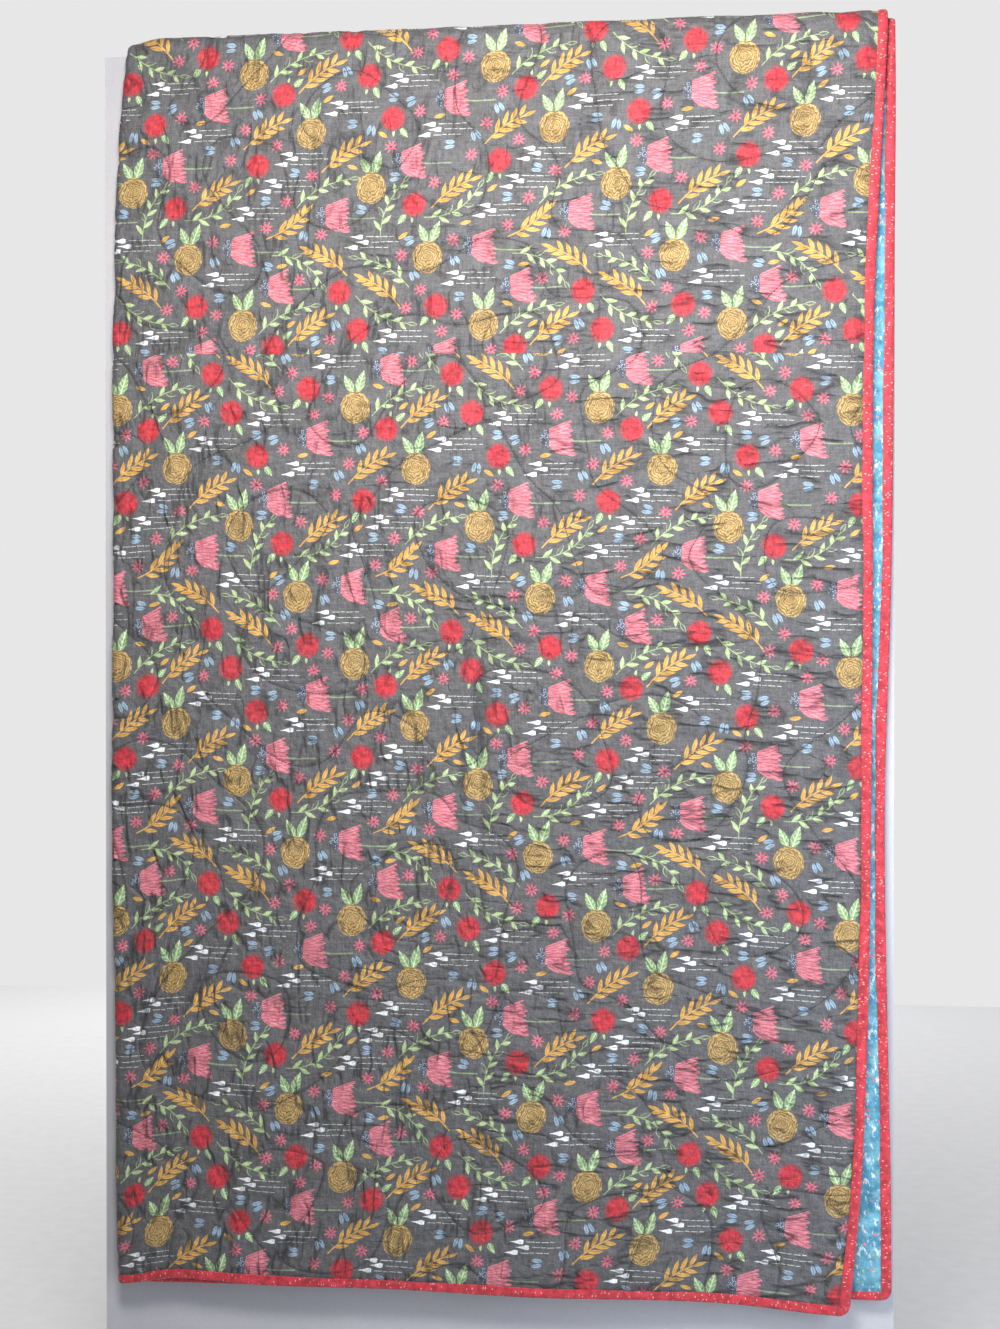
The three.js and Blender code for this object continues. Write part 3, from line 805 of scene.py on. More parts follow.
def printed_flat(v_low, v_high, shift, repeat):
    """The flat printed sheet's points, triangles and the patch that each triangle belongs to."""
    points = []
    edges = []
    faces = []
    patches = []
    left = heights(v_low, v_high, FILL_SPACING)
    right = heights(v_low, v_high, PLAIN_SPACING)
    across = np.append(np.arange(HIDDEN_EDGE, PRINTED_WIDTH, FILL_SPACING), PRINTED_WIDTH)
    rim = [(HIDDEN_EDGE, v) for v in left]
    rim += [(u, v_high) for u in across[1:]]
    rim += [(PRINTED_WIDTH, v) for v in right[::-1][1:]]
    rim += [(u, v_low) for u in across[::-1][1:-1]]
    points += rim
    edges += [(k, (k + 1) % len(rim)) for k in range(len(rim))]
    columns = range(-1, int(PRINTED_WIDTH / REPEAT_WIDTH) + 2)
    rows = range(int((v_low - shift[1]) // REPEAT_HEIGHT) - 1, int((v_high - shift[1]) // REPEAT_HEIGHT) + 2)
    for column in columns:
        for row in rows:
            offset = np.array((column * REPEAT_WIDTH + shift[0], row * REPEAT_HEIGHT + shift[1]))
            for piece in repeat:
                outline = piece["outline"] * (-1, 1) + offset
                past_rim = outline[:, 0].max() > PRINTED_WIDTH - RIM_CLEARANCE
                if past_rim or not inside(outline, v_low, v_high).any():
                    continue
                if turns_clockwise(outline):
                    outline = outline[::-1]
                faces.append(list(range(len(points), len(points) + len(outline))))
                points += [tuple(p) for p in outline]
                frame_matrix = np.diag((-1.0, 1.0, 1.0)) @ piece["frame"]
                frame_matrix[:2, 2] += offset
                patches.append((piece["material"], np.linalg.inv(frame_matrix)))
    stitched, chains = level_curves((HIDDEN_EDGE, PRINTED_WIDTH), (v_low, v_high))
    fits = inside(stitched, v_low, v_high, RIM_CLEARANCE)
    for chain in chains:
        for a, b in zip(chain, chain[1:]):
            if fits[a] and fits[b]:
                edges.append((len(points), len(points) + 1))
                points += [tuple(stitched[a]), tuple(stitched[b])]
    points += [tuple(p) for p in filler_points(v_low, v_high, points)]
    result = delaunay_2d_cdt([Vector(p) for p in points], edges, faces, 0, 1e-3, True)
    flat = np.array([tuple(p) for p in result[0]])
    triangles = np.array(result[2])
    owners = np.array([max(origins, default=-1) for origins in result[5]])
    kept = inside(flat[triangles].mean(axis=1), v_low, v_high)
    used, renumbered = np.unique(triangles[kept], return_inverse=True)
    return flat[used], renumbered.reshape(-1, 3), owners[kept], patches


def new_mesh(name, positions, faces, normals=None):
    mesh = bpy.data.meshes.new(name)
    mesh.from_pydata((np.asarray(positions) * MM).tolist(), [], faces)
    mesh.update()
    mesh.polygons.foreach_set("use_smooth", [True] * len(mesh.polygons))
    if normals is not None:
        mesh.normals_split_custom_set_from_vertices(normals.tolist())
    piece = bpy.data.objects.new(name, mesh)
    bpy.context.collection.objects.link(piece)
    return piece


def set_uv(mesh, name, per_loop):
    layer = mesh.uv_layers.new(name=name)
    layer.data.foreach_set("uv", np.asarray(per_loop, np.float32).ravel())


def loop_vertices(mesh):
    numbers = np.empty(len(mesh.loops), np.int64)
    mesh.loops.foreach_get("vertex_index", numbers)
    return numbers


def grid_faces(numbers):
    """The cells of a grid of point numbers, each as its four corners."""
    low, high = numbers[:-1], numbers[1:]
    return np.stack((low[:, :-1], low[:, 1:], high[:, 1:], high[:, :-1]), axis=-1).reshape(-1, 4)


def width_grid(rows, start, shares):
    """Flat points in rows, by their shares of the way from a start to just inside the open edge."""
    last = section_length(rows) - HIDDEN_EDGE
    u = start + (last[:, None] - start) * shares[None, :]
    return u, np.repeat(rows[:, None], len(shares), axis=1)


def inner_half(flat, v_low, v_high):
    """The plain grid that goes on from the printed sheet to the open edge: its new points, and its faces."""
    shares = np.arange(INNER_COLUMNS + 1) / INNER_COLUMNS
    u, v = width_grid(heights(v_low, v_high, PLAIN_SPACING), PRINTED_WIDTH, shares)
    rim = np.flatnonzero(flat[:, 0] > PRINTED_WIDTH - RIM_TOLERANCE)
    numbers = np.empty(u.shape, int)
    numbers[:, 0] = [rim[np.argmin(np.abs(flat[rim, 1] - height))] for height in v[:, 0]]
    numbers[:, 1:] = len(flat) + np.arange(u[:, 1:].size).reshape(len(u), -1)
    new_points = np.stack((u[:, 1:].ravel(), v[:, 1:].ravel()), axis=1)
    return new_points, grid_faces(numbers)[:, (0, 3, 2, 1)].tolist()


def patch_places(place, owners, patches):
    """Flat places in the unit frames of the patches that own them, and 0 on the ground."""
    local = np.zeros((len(place), 2))
    inverse = np.array([matrix for _, matrix in patches])
    owned = owners >= 0
    spot = np.concatenate((place[owned], np.ones((owned.sum(), 1))), axis=1)
    local[owned] = np.einsum("nij,nj->ni", inverse[owners[owned]], spot)[:, :2]
    return local


def backing_panel(name, v_low, v_high, shift, repeat, materials):
    """One length of the charcoal face: the outer half and fold with the print, then the plain inner half."""
    flat, triangles, owners, patches = printed_flat(v_low, v_high, shift, repeat)
    new_points, quads = inner_half(flat, v_low, v_high)
    every = np.concatenate((flat, new_points))
    u, v = every[:, 0], every[:, 1]
    faces = triangles[:, ::-1].tolist() + quads
    owners = np.concatenate((owners, np.full(len(quads), -1)))
    piece = new_mesh(name, drape(u, v, relief(u, v)), faces, draped_normals(u, v, relief))
    mesh = piece.data
    for material in materials.values():
        mesh.materials.append(material)
    slots = list(materials)
    mesh.polygons.foreach_set("material_index", [slots.index(patches[n][0]) if n >= 0 else 0 for n in owners])
    place = every[loop_vertices(mesh)]
    set_uv(mesh, "Cloth", place * MM)
    set_uv(mesh, "Motif", patch_places(place, np.repeat(owners, [len(face) for face in faces]), patches))
    # How low the charcoal face sinks, which the material turns into painted shade in its grooves and creases
    groove_shade = np.clip(0.5 + 0.45 * (relief(u, v) - HALF_SHEETS), 0, 1)
    for key, values in (("groove_shade", groove_shade), ("from_stitch", stitch_offset(u, v))):
        mesh.attributes.new(key, "FLOAT", "POINT").data.foreach_set("value", values.astype(np.float32))
    mesh.uv_layers.active = mesh.uv_layers["Cloth"]
    return piece


def turquoise_sheet(material):
    """The inner face, a plain grid of the flat cloth, closer near the open edges that show."""
    shares = [np.linspace(start, end, steps, endpoint=False) for start, end, steps in TURQUOISE_STRETCHES]
    rows = heights(HIDDEN_EDGE, FULL_LENGTH - HIDDEN_EDGE, TURQUOISE_SPACING)
    u, v = width_grid(rows, HIDDEN_EDGE, np.append(np.concatenate(shares), 1))
    faces = grid_faces(np.arange(u.size).reshape(u.shape))
    u, v = u.ravel(), v.ravel()

    def under(u, v):
        return -relief(u, v)

    piece = new_mesh("turquoise_face", drape(u, v, under(u, v)), faces.tolist(), -draped_normals(u, v, under))
    piece.data.materials.append(material)
    set_uv(piece.data, "Cloth", np.stack((u, v), axis=1)[loop_vertices(piece.data)] * MM)
    return piece


# The binding's section over the charcoal face: how far in from the edge, and how high over the middle
BINDING_SECTION = (
    (9.5, 2.0), (9.1, 2.75), (8.2, 2.7), (6.6, 3.15), (4.4, 3.3),
    (2.2, 3.15), (0.7, 2.5), (-0.1, 1.3), (-0.3, 0),
)
BINDING_INSIDE = ((8.6, -1.2), (8.6, 1.2))
CLOSING_LENGTH = 2.4
BINDING_STEP = 3.6
CORNER_ROUND = 10.5
CORNER_STEPS = 7
CORNER_SKIP = 3

# The binding's puckers: how strong, and from what height and how far in its section follows them
PUFF_RIPPLE = 0.45
PUFFED_ABOVE = 2.2
LEANING_BEYOND = 8


def binding_stations():
    """Sections round the four edges: the share of the width and a place from there, and the way inwards."""
    stations = []
    columns = np.linspace(0, 1, int(FLAT_WIDTH / BINDING_STEP) + 1)[CORNER_SKIP:-CORNER_SKIP]
    rows = heights(0, FULL_LENGTH, BINDING_STEP)[CORNER_SKIP:-CORNER_SKIP]

    def corner(u_share, v, first_turn):
        """An arc about a point that lies in from both edges by the corner's radius."""
        middle_u = CORNER_ROUND * (1 - 2 * u_share)
        middle_v = CORNER_ROUND if v == 0 else FULL_LENGTH - CORNER_ROUND
        for k in range(CORNER_STEPS + 1):
            turn = math.radians(first_turn + 90 * k / CORNER_STEPS)
            outward = (math.cos(turn), math.sin(turn))
            start = (middle_u + CORNER_ROUND * outward[0], middle_v + CORNER_ROUND * outward[1])
            stations.append((u_share, start, (-outward[0], -outward[1])))

    stations += [(share, (0, 0), (0, 1)) for share in columns]
    corner(1, 0, -90)
    stations += [(1, (0, v), (-1, 0)) for v in rows]
    corner(1, FULL_LENGTH, 0)
    stations += [(share, (0, FULL_LENGTH), (0, -1)) for share in columns[::-1]]
    corner(0, FULL_LENGTH, 90)
    stations += [(0, (0, v), (1, 0)) for v in rows[::-1]]
    corner(0, 0, 180)
    return stations


def binding_ring(material):
    """The red strip folded round all four edges, puckered a little along its stitching."""
    back = [(inward, -height) for inward, height in BINDING_SECTION[-2::-1]]
    profile = np.array([*BINDING_SECTION, *back, *BINDING_INSIDE])
    stations = binding_stations()
    positions = []
    for number, (u_share, (from_u, from_v), (in_u, in_v)) in enumerate(stations):
        passed = number * BINDING_STEP
        pucker = 0.6 * math.sin(passed / 5.3 + 2 * math.sin(passed / 23)) + 0.4 * math.sin(passed / 13.7)
        lean = 0.55 * math.sin(passed / 41) + 0.3 * math.sin(passed / 17.3)
        inward, height = profile.T
        height = height + np.sign(height) * pucker * (np.abs(height) > PUFFED_ABOVE) * PUFF_RIPPLE
        inward = inward + lean * (inward > LEANING_BEYOND)
        along_v = from_v + in_v * inward
        u = u_share * section_length(along_v) + from_u + in_u * inward
        positions.append(drape(u, along_v, height))
    total, count = len(stations), len(profile)
    around = np.concatenate(([0], np.cumsum(np.linalg.norm(np.diff(profile, axis=0), axis=1))))
    around = np.append(around, around[-1] + CLOSING_LENGTH)
    row, column = np.mgrid[:total + 1, :count + 1]
    faces = grid_faces(row % total * count + column % count)
    piece = new_mesh("red_edge", np.concatenate(positions), faces.tolist())
    piece.data.materials.append(material)
    uvs = np.stack((row * BINDING_STEP, around[column]), axis=-1).reshape(-1, 2)
    set_uv(piece.data, "Cloth", uvs[grid_faces(row * (count + 1) + column).ravel()] * MM)
    return piece


# The machine stitches along the wandering line
STITCH_LENGTH = 2.8
STITCH_GAP = 0.7
THREAD_WIDTH = 1.1
THREAD_RISE = 0.65
THREAD_SIDE = 0.2
THREAD_END = 0.1


def stitch_runs(v_low, v_high):
    """Both ends of every stitch along a panel's stitched line, as flat points."""
    points, chains = level_curves((HIDDEN_EDGE, PRINTED_WIDTH), (v_low, v_high))
    starts = []
    ends = []
    for chain in chains:
        line = points[chain]
        length = np.concatenate(([0], np.cumsum(np.linalg.norm(np.diff(line, axis=0), axis=1))))
        at = np.arange(0, length[-1] - STITCH_LENGTH, STITCH_LENGTH + STITCH_GAP)
        for offset, kept in ((0, starts), (STITCH_LENGTH, ends)):
            kept.append(np.stack([np.interp(at + offset, length, line[:, axis]) for axis in (0, 1)], axis=1))
    starts = np.concatenate(starts)
    ends = np.concatenate(ends)
    clear = (edge_distance(*starts.T) > BINDING_WIDTH) & (edge_distance(*ends.T) > BINDING_WIDTH)
    return starts[clear], ends[clear]


def stitches(material):
    """Short raised threads along the stitched line, as far as the charcoal face is printed."""
    lower_runs = stitch_runs(HIDDEN_EDGE, SEAM_V)
    upper_runs = stitch_runs(SEAM_V, FULL_LENGTH - HIDDEN_EDGE)
    start, end = (np.concatenate(pair) for pair in zip(lower_runs, upper_runs))
    along = end - start
    along = along / np.linalg.norm(along, axis=1)[:, None]
    side = np.stack((-along[:, 1], along[:, 0]), axis=1) * THREAD_WIDTH / 2
    middle = (start + end) / 2

    def on_cloth(flat, rise):
        u, v = flat[:, 0], flat[:, 1]
        return drape(u, v, relief(u, v) + rise)

    corners = (
        on_cloth(start, THREAD_END), on_cloth(middle + side, THREAD_SIDE),
        on_cloth(middle - side, THREAD_SIDE), on_cloth(middle, THREAD_RISE),
        on_cloth(end, THREAD_END), on_cloth(middle, -THREAD_SIDE),
    )
    positions = np.stack(corners, axis=1).reshape(-1, 3)
    shape = np.array(((0, 1, 3), (0, 3, 2), (4, 3, 1), (4, 2, 3), (0, 5, 1), (0, 2, 5), (4, 1, 5), (4, 5, 2)))
    faces = (np.arange(len(start))[:, None, None] * len(corners) + shape[None]).reshape(-1, 3)
    piece = new_mesh("stitching", positions, faces[:, ::-1].tolist())
    piece.data.materials.append(material)
    return piece


# Materials, all made of nodes
PUCKER_SCALE = 46
DOT_SPACING = 1.7
DOT_SIZE = 0.31


def srgb(red, green, blue):
    """A colour as seen on a screen, out of 255, as the linear colour of a shader."""
    linear = []
    for value in (red, green, blue):
        value = value / 255
        linear.append(value / 12.92 if value <= 0.04045 else ((value + 0.055) / 1.055) ** 2.4)
    return (*linear, 1.0)


class Shader:
    """One material with a Principled shader, and short names for the nodes that feed it."""

    def __init__(self, name, roughness=0.68, sheen=0.12):
        self.material = bpy.data.materials.new(name)
        self.material.use_nodes = True
        self.tree = self.material.node_tree
        self.tree.nodes.clear()
        output = self.tree.nodes.new("ShaderNodeOutputMaterial")
        self.surface = self.tree.nodes.new("ShaderNodeBsdfPrincipled")
        self.tree.links.new(self.surface.outputs[0], output.inputs["Surface"])
        self.surface.inputs["Roughness"].default_value = roughness
        self.surface.inputs["Sheen Weight"].default_value = sheen

    def feed(self, socket, value):
        if isinstance(value, bpy.types.NodeSocket):
            self.tree.links.new(value, socket)
        else:
            socket.default_value = value

    def node(self, kind, inputs, output=0, **settings):
        made = self.tree.nodes.new("ShaderNode" + kind)
        for key, value in settings.items():
            setattr(made, key, value)
        for key, value in inputs.items():
            self.feed(made.inputs[key], value)
        return made.outputs[output]

    def calc(self, kind, *values):
        return self.node("Math", dict(enumerate(values)), operation=kind)

    def place(self, layer, scale=(1, 1, 1), turn=0.0):
        flat = self.node("UVMap", {}, uv_map=layer)
        return self.node("Mapping", {"Vector": flat, "Scale": scale, "Rotation": (0, 0, turn)})

    def noise(self, where, scale, detail=3.0, roughness=0.55):
        inputs = {"Vector": where, "Scale": scale, "Detail": detail, "Roughness": roughness}
        return self.node("TexNoise", inputs)

    def spots(self, where, scale, randomness):
        """The distance from the nearest of scattered points."""
        return self.node("TexVoronoi", {"Vector": where, "Scale": scale, "Randomness": randomness})

    def between(self, value, low, high, start=0.0, end=1.0):
        inputs = {"Value": value, "From Min": low, "From Max": high, "To Min": start, "To Max": end}
        return self.node("MapRange", inputs)

    def mix(self, share, first, second, blend="MIX"):
        made = self.tree.nodes.new("ShaderNodeMix")
        made.data_type = "RGBA"
        made.blend_type = blend
        for socket, value in ((made.inputs[0], share), (made.inputs[6], first), (made.inputs[7], second)):
            self.feed(socket, value)
        return made.outputs[2]

    def ramp(self, value, reach, colours, shares=(0.0, 1.0), blend="MIX"):
        """Mixes two colours by a value, whose reach from low to high is the second colour's share."""
        return self.mix(self.between(value, *reach, *shares), *colours, blend)

    def length(self, place):
        return self.node("VectorMath", {0: place}, output=1, operation="LENGTH")

    def polar(self, place):
        """A place's distance from its patch's middle, and its angle."""
        x, y = self.axes(place)
        return self.length(place), self.calc("ARCTAN2", y, x)

    def bump(self, height, distance, strength=1.0, normal=None):
        inputs = {"Height": height, "Distance": distance, "Strength": strength}
        if normal is not None:
            inputs["Normal"] = normal
        return self.node("Bump", inputs)

    def axes(self, where):
        made = self.tree.nodes.new("ShaderNodeSeparateXYZ")
        self.tree.links.new(where, made.inputs[0])
        return made.outputs[0], made.outputs[1]


def pucker_lines(shader, cloth):
    """Short fine creases, 0 in them and 1 away from them: upright on the left, level on the right."""
    u = shader.axes(cloth)[0]
    wander = shader.calc("MULTIPLY", shader.noise(cloth, 8, 1), 0.9)
    upright_share = shader.between(shader.calc("ADD", u, wander), 0.62, 1.0)
    lines = []
    for along in ((1, 0.3, 1), (0.3, 1, 1)):
        wave = shader.noise(shader.place("Cloth", along), PUCKER_SCALE, 2, 0.45)
        aside = shader.calc("ABSOLUTE", shader.calc("SUBTRACT", wave, 0.5))
        lines.append(shader.between(aside, 0.0, 0.055))
    line = shader.node("Mix", {0: upright_share, 2: lines[1], 3: lines[0]})
    faded = shader.between(shader.noise(cloth, 34, 1), 0.42, 0.56)
    return shader.calc("MAXIMUM", line, faded)


def cotton(shader, colour, thread=1.0, has_crease_shade_and_bumps=True):
    """Finishes a cotton print: uneven dye, a plain weave, fine crinkles, and painted shade in creases and
    grooves.
    """
    cloth = shader.place("Cloth")
    blotch = shader.noise(cloth, 26, 2)
    fine = shader.noise(cloth, 900, 2, 0.7)
    mottle = shader.noise(cloth, 150, 3, 0.6)
    upright = shader.noise(shader.place("Cloth", (1, 0.09, 1)), 620, 2, 0.6)
    level = shader.noise(shader.place("Cloth", (0.09, 1, 1)), 620, 2, 0.6)
    slub = shader.calc("ADD", upright, level)
    colour = shader.ramp(blotch, (0.3, 0.7), (colour, srgb(60, 58, 58)), (0, 0.22), "MULTIPLY")
    colour = shader.ramp(mottle, (0.35, 0.68), (colour, srgb(70, 69, 72)), (0, 0.34), "MULTIPLY")
    colour = shader.ramp(slub, (0.9, 1.3), (colour, srgb(205, 204, 202)), (0, 0.08 * thread))
    colour = shader.ramp(fine, (0.35, 0.75), (colour, srgb(236, 232, 226)), (0, 0.3 * thread), "SOFT_LIGHT")
    ripple = shader.noise(cloth, 75, 2, 0.5)
    normal = shader.bump(ripple, 0.0034)
    if has_crease_shade_and_bumps:
        # Painted shade: the cloth darkened where it sinks low, in the stitched grooves and creases
        groove_shade = shader.node("Attribute", {}, output=2, attribute_name="groove_shade")
        colour = shader.ramp(groove_shade, (0.0, 0.42), (colour, srgb(38, 37, 40)), (0.45, 0), "MULTIPLY")
        # Painted shade in the fine crinkles, heavier near the front hem and lighter up the cloth, beside
        # their bump
        pucker = pucker_lines(shader, cloth)
        height = shader.axes(cloth)[1]
        strength = shader.between(height, 0.2, 1.1, 0.62, 0.3)
        shade = shader.calc("MULTIPLY", shader.between(pucker, 0.0, 0.8, 1, 0), strength)
        colour = shader.mix(shade, colour, srgb(48, 46, 50), "MULTIPLY")
        normal = shader.bump(pucker, 0.0032, 1.0, normal)
        # Painted shade along the stitched line, where the cloth is pulled into a groove, beside the groove's
        # bump
        from_stitch = shader.node("Attribute", {}, output=2, attribute_name="from_stitch")
        aside = shader.calc("ABSOLUTE", from_stitch)
        colour = shader.ramp(aside, (0.2, 1.0), (colour, srgb(46, 44, 48)), (0.24, 0), "MULTIPLY")
        normal = shader.bump(shader.between(aside, 0.0, 2.4), 0.0006, 1.0, normal)
    shader.feed(shader.surface.inputs["Base Color"], colour)
    threads = {"Vector": cloth, "Scale": 520, "Distortion": 1.5}
    warp, weft = (shader.node("TexWave", threads, output=1, bands_direction=axis) for axis in "XY")
    weave = shader.calc("ADD", warp, weft)
    crinkle = shader.noise(shader.place("Cloth", (1.0, 0.7, 1)), 210, 3, 0.6)
    normal = shader.bump(crinkle, 0.0015, 0.9, normal)
    normal = shader.bump(weave, 0.00006, 0.6, normal)
    shader.feed(shader.surface.inputs["Normal"], normal)
    return shader.material


def leaf_material(name, dark, light, vein, veins):
    """A printed leaf: its local x runs from stalk to tip and y from side to side."""
    shader = Shader(name)
    motif = shader.place("Motif")
    x, y = shader.axes(motif)
    aside = shader.calc("ABSOLUTE", y)
    grain = shader.noise(shader.place("Motif", (3, 9, 1)), 1.4, 2)
    colour = shader.ramp(grain, (0.38, 0.6), (srgb(*dark), srgb(*light)))
    slanted = shader.calc("SUBTRACT", shader.calc("MULTIPLY", x, veins), aside)
    ribs = shader.calc("PINGPONG", slanted, 0.5)
    rib = shader.between(ribs, 0.06, 0.14, 0.75, 0)
    middle = shader.between(aside, 0.07, 0.17, 1, 0)
    colour = shader.mix(shader.calc("MAXIMUM", rib, middle), colour, srgb(*vein))
    if name == "open_leaf":
        bulge = shader.calc("SINE", shader.calc("MULTIPLY", x, math.pi))
        rim = shader.calc("SUBTRACT", aside, shader.calc("MULTIPLY", bulge, 0.62))
        inner = shader.between(rim, -0.1, 0.0, 1, 0)
        inner = shader.calc("MULTIPLY", inner, shader.between(x, 0.06, 0.14))
        inner = shader.calc("MULTIPLY", inner, shader.between(x, 0.84, 0.92, 1, 0))
        colour = shader.mix(inner, colour, srgb(*PLAIN_PATCHES["charcoal"][1]))
    return cotton(shader, colour, 0.6)


def rose_material():
    """Gold pencil-like rounds on brown: rings that wander with the angle."""
    shader = Shader("rose")
    motif = shader.place("Motif")
    reach, angle = shader.polar(motif)
    wander = shader.noise(motif, 1.7, 1)
    jitter = shader.noise(motif, 6.5, 2)
    turns = shader.calc("MULTIPLY_ADD", reach, 38.0, angle)
    turns = shader.calc("MULTIPLY_ADD", wander, 24.0, turns)
    turns = shader.calc("MULTIPLY_ADD", jitter, 5.0, turns)
    lines = shader.calc("SINE", turns)
    fine = shader.calc("SINE", shader.calc("MULTIPLY", turns, 1.9))
    wide = shader.between(lines, 0.1, 0.75, 0, 0.9)
    dark = shader.calc("MAXIMUM", wide, shader.between(fine, 0.5, 1.0, 0, 0.7))
    gold = shader.ramp(jitter, (0.4, 0.6), (srgb(172, 138, 72), srgb(208, 176, 110)))
    return cotton(shader, shader.mix(dark, gold, srgb(98, 78, 48)), 0.5)


def pompom_material():
    """Red in dark and bright blots, with short strokes that run outwards and a ragged soft rim."""
    shader = Shader("pompom")
    motif = shader.place("Motif")
    reach, angle = shader.polar(motif)
    across = shader.calc("MULTIPLY", angle, 7.0)
    spread = shader.node("CombineXYZ", {0: across, 1: shader.calc("MULTIPLY", reach, 2.6)})
    strokes = shader.noise(spread, 1.6, 2, 0.6)
    blot = shader.noise(motif, 2.2, 2)
    colour = shader.ramp(blot, (0.38, 0.62), (srgb(148, 16, 32), srgb(206, 26, 44)))
    colour = shader.ramp(strokes, (0.5, 0.66), (colour, srgb(214, 66, 80)), (0, 0.75))
    colour = shader.ramp(strokes, (0.34, 0.46), (colour, srgb(112, 22, 38)), (0.6, 0))
    rim = shader.calc("MULTIPLY_ADD", strokes, 0.55, reach)
    colour = shader.ramp(rim, (0.98, 1.26), (colour, srgb(102, 78, 82)))
    return cotton(shader, colour, 0.5)


def petal_material():
    """Pink petals side by side, streaked along their length."""
    shader = Shader("petals")
    motif = shader.place("Motif")
    x, y = shader.axes(motif)
    streaks = shader.noise(shader.place("Motif", (0.07, 1.5, 1)), 1.0, 2)
    pale = shader.ramp(streaks, (0.38, 0.6), (srgb(176, 80, 97), srgb(228, 142, 153)))
    half_height = shader.calc("MULTIPLY_ADD", x, 0.42, 10.5)
    wander = shader.calc("MULTIPLY", shader.noise(motif, 0.16, 1), 0.5)
    fan = shader.calc("ADD", shader.calc("MULTIPLY", shader.calc("DIVIDE", y, half_height), 3.57), wander)
    parts = shader.calc("PINGPONG", fan, 0.5)
    colour = shader.ramp(parts, (0.04, 0.16), (pale, srgb(150, 56, 72)), (0.85, 0))
    return cotton(shader, colour, 0.5)


def cone_material():
    """Dark slate with pale dots."""
    shader = Shader("cone")
    spots = shader.spots(shader.place("Motif"), 1 / DOT_SPACING, 0.7)
    colour = shader.ramp(spots, (DOT_SIZE, DOT_SIZE + 0.1), (srgb(66, 70, 82), srgb(158, 170, 188)), (1, 0))
    return cotton(shader, colour, 0.6)


def ray_material():
    """Narrow pink petals round a dark point, with the ground between them."""
    shader = Shader("ray_flower")
    motif = shader.place("Motif")
    reach, angle = shader.polar(motif)
    turn = shader.calc("PINGPONG", shader.calc("DIVIDE", angle, PETAL_TURN), 0.5)
    aside = shader.calc("MULTIPLY", turn, shader.calc("MULTIPLY", reach, PETAL_TURN))
    widening = shader.between(reach, 0.1, 0.6, 0.04, 0.15)
    half_width = shader.calc("MINIMUM", widening, shader.between(reach, 0.6, 1.0, 0.15, 0.03))
    out = shader.calc("SUBTRACT", aside, half_width)
    pink = shader.ramp(shader.noise(motif, 3.0, 2), (0.4, 0.6), (srgb(178, 74, 96), srgb(216, 120, 136)))
    colour = shader.ramp(reach, (0.1, 0.22), (srgb(146, 44, 66), pink))
    colour = shader.ramp(out, (-0.01, 0.05), (colour, srgb(*PLAIN_PATCHES["charcoal"][0])))
    return cotton(shader, colour, 0.5)


def plain_print(name, dark, light, scale):
    shader = Shader(name)
    grain = shader.noise(shader.place("Cloth"), scale, 3)
    return cotton(shader, shader.ramp(grain, (0.38, 0.62), (srgb(*dark), srgb(*light))), 0.8)


# The ground and the patches of one plain colour: dark, light and how fine their grain is
PLAIN_PATCHES = {
    "charcoal": ((72, 72, 75), (91, 91, 93), 700),
    "stem": ((118, 136, 104), (140, 160, 124), 500),
    "vine_stem": ((134, 158, 106), (160, 184, 128), 500),
    "bud": ((200, 208, 214), (252, 253, 254), 500),
    "tail": ((162, 170, 164), (214, 220, 214), 300),
}

# Leaves: dark, light and vein, and how many veins leave the middle one
LEAF_PATCHES = {
    "big_leaf": ((110, 144, 92), (148, 180, 122), (204, 226, 184), 5.0),
    "vine_leaf": ((132, 160, 102), (176, 198, 142), (192, 212, 162), 3.0),
    "ochre_leaf": ((194, 140, 56), (226, 180, 92), (176, 124, 50), 0.0),
    "open_leaf": ((138, 162, 108), (170, 192, 138), (166, 188, 132), 0.0),
    "pale_leaf": ((104, 134, 160), (168, 194, 212), (84, 108, 134), 0.0),
}


def print_materials():
    """Every material of the floral print, by its patch name, the ground first."""
    materials = {name: plain_print(name, *patch) for name, patch in PLAIN_PATCHES.items()}
    materials.update({name: leaf_material(name, *patch) for name, patch in LEAF_PATCHES.items()})
    materials["rose"] = rose_material()
    materials["pompom"] = pompom_material()
    materials["petals"] = petal_material()
    materials["cone"] = cone_material()
    materials["ray_flower"] = ray_material()
    return materials


def turquoise_material():
    """Turquoise cotton with white splashes, small coral flowers and green flecks."""
    shader = Shader("turquoise", sheen=0.15)
    cloth = shader.place("Cloth")
    wash = shader.noise(cloth, 60, 3)
    colour = shader.ramp(wash, (0.4, 0.6), (srgb(48, 128, 160), srgb(104, 168, 190)))
    splash = shader.noise(shader.place("Cloth", (1, 0.5, 1), 0.5), 170, 4, 0.7)
    colour = shader.ramp(splash, (0.55, 0.62), (colour, srgb(216, 230, 236)), (0, 0.9))
    flecks = shader.noise(cloth, 240, 1)
    colour = shader.ramp(flecks, (0.63, 0.67), (colour, srgb(112, 172, 118)), (0, 0.8))
    spots = shader.spots(cloth, 120, 0.8)
    colour = shader.ramp(spots, (0.16, 0.24), (colour, srgb(206, 110, 112)), (0.9, 0))
    return cotton(shader, colour, 0.5, has_crease_shade_and_bumps=False)


def binding_material():
    """Red cotton with tiny pale dashes on the slant."""
    shader = Shader("red_binding", sheen=0.2)
    slant = shader.place("Cloth", (1, 0.55, 1), math.pi / 4)
    spots = shader.spots(slant, 400, 0.7)
    tint = shader.noise(shader.place("Cloth"), 120, 2)
    red = shader.ramp(tint, (0.38, 0.62), (srgb(172, 26, 42), srgb(208, 46, 64)))
    colour = shader.ramp(spots, (0.18, 0.27), (red, srgb(246, 172, 160)), (0.85, 0))
    return cotton(shader, colour, 0.3, has_crease_shade_and_bumps=False)


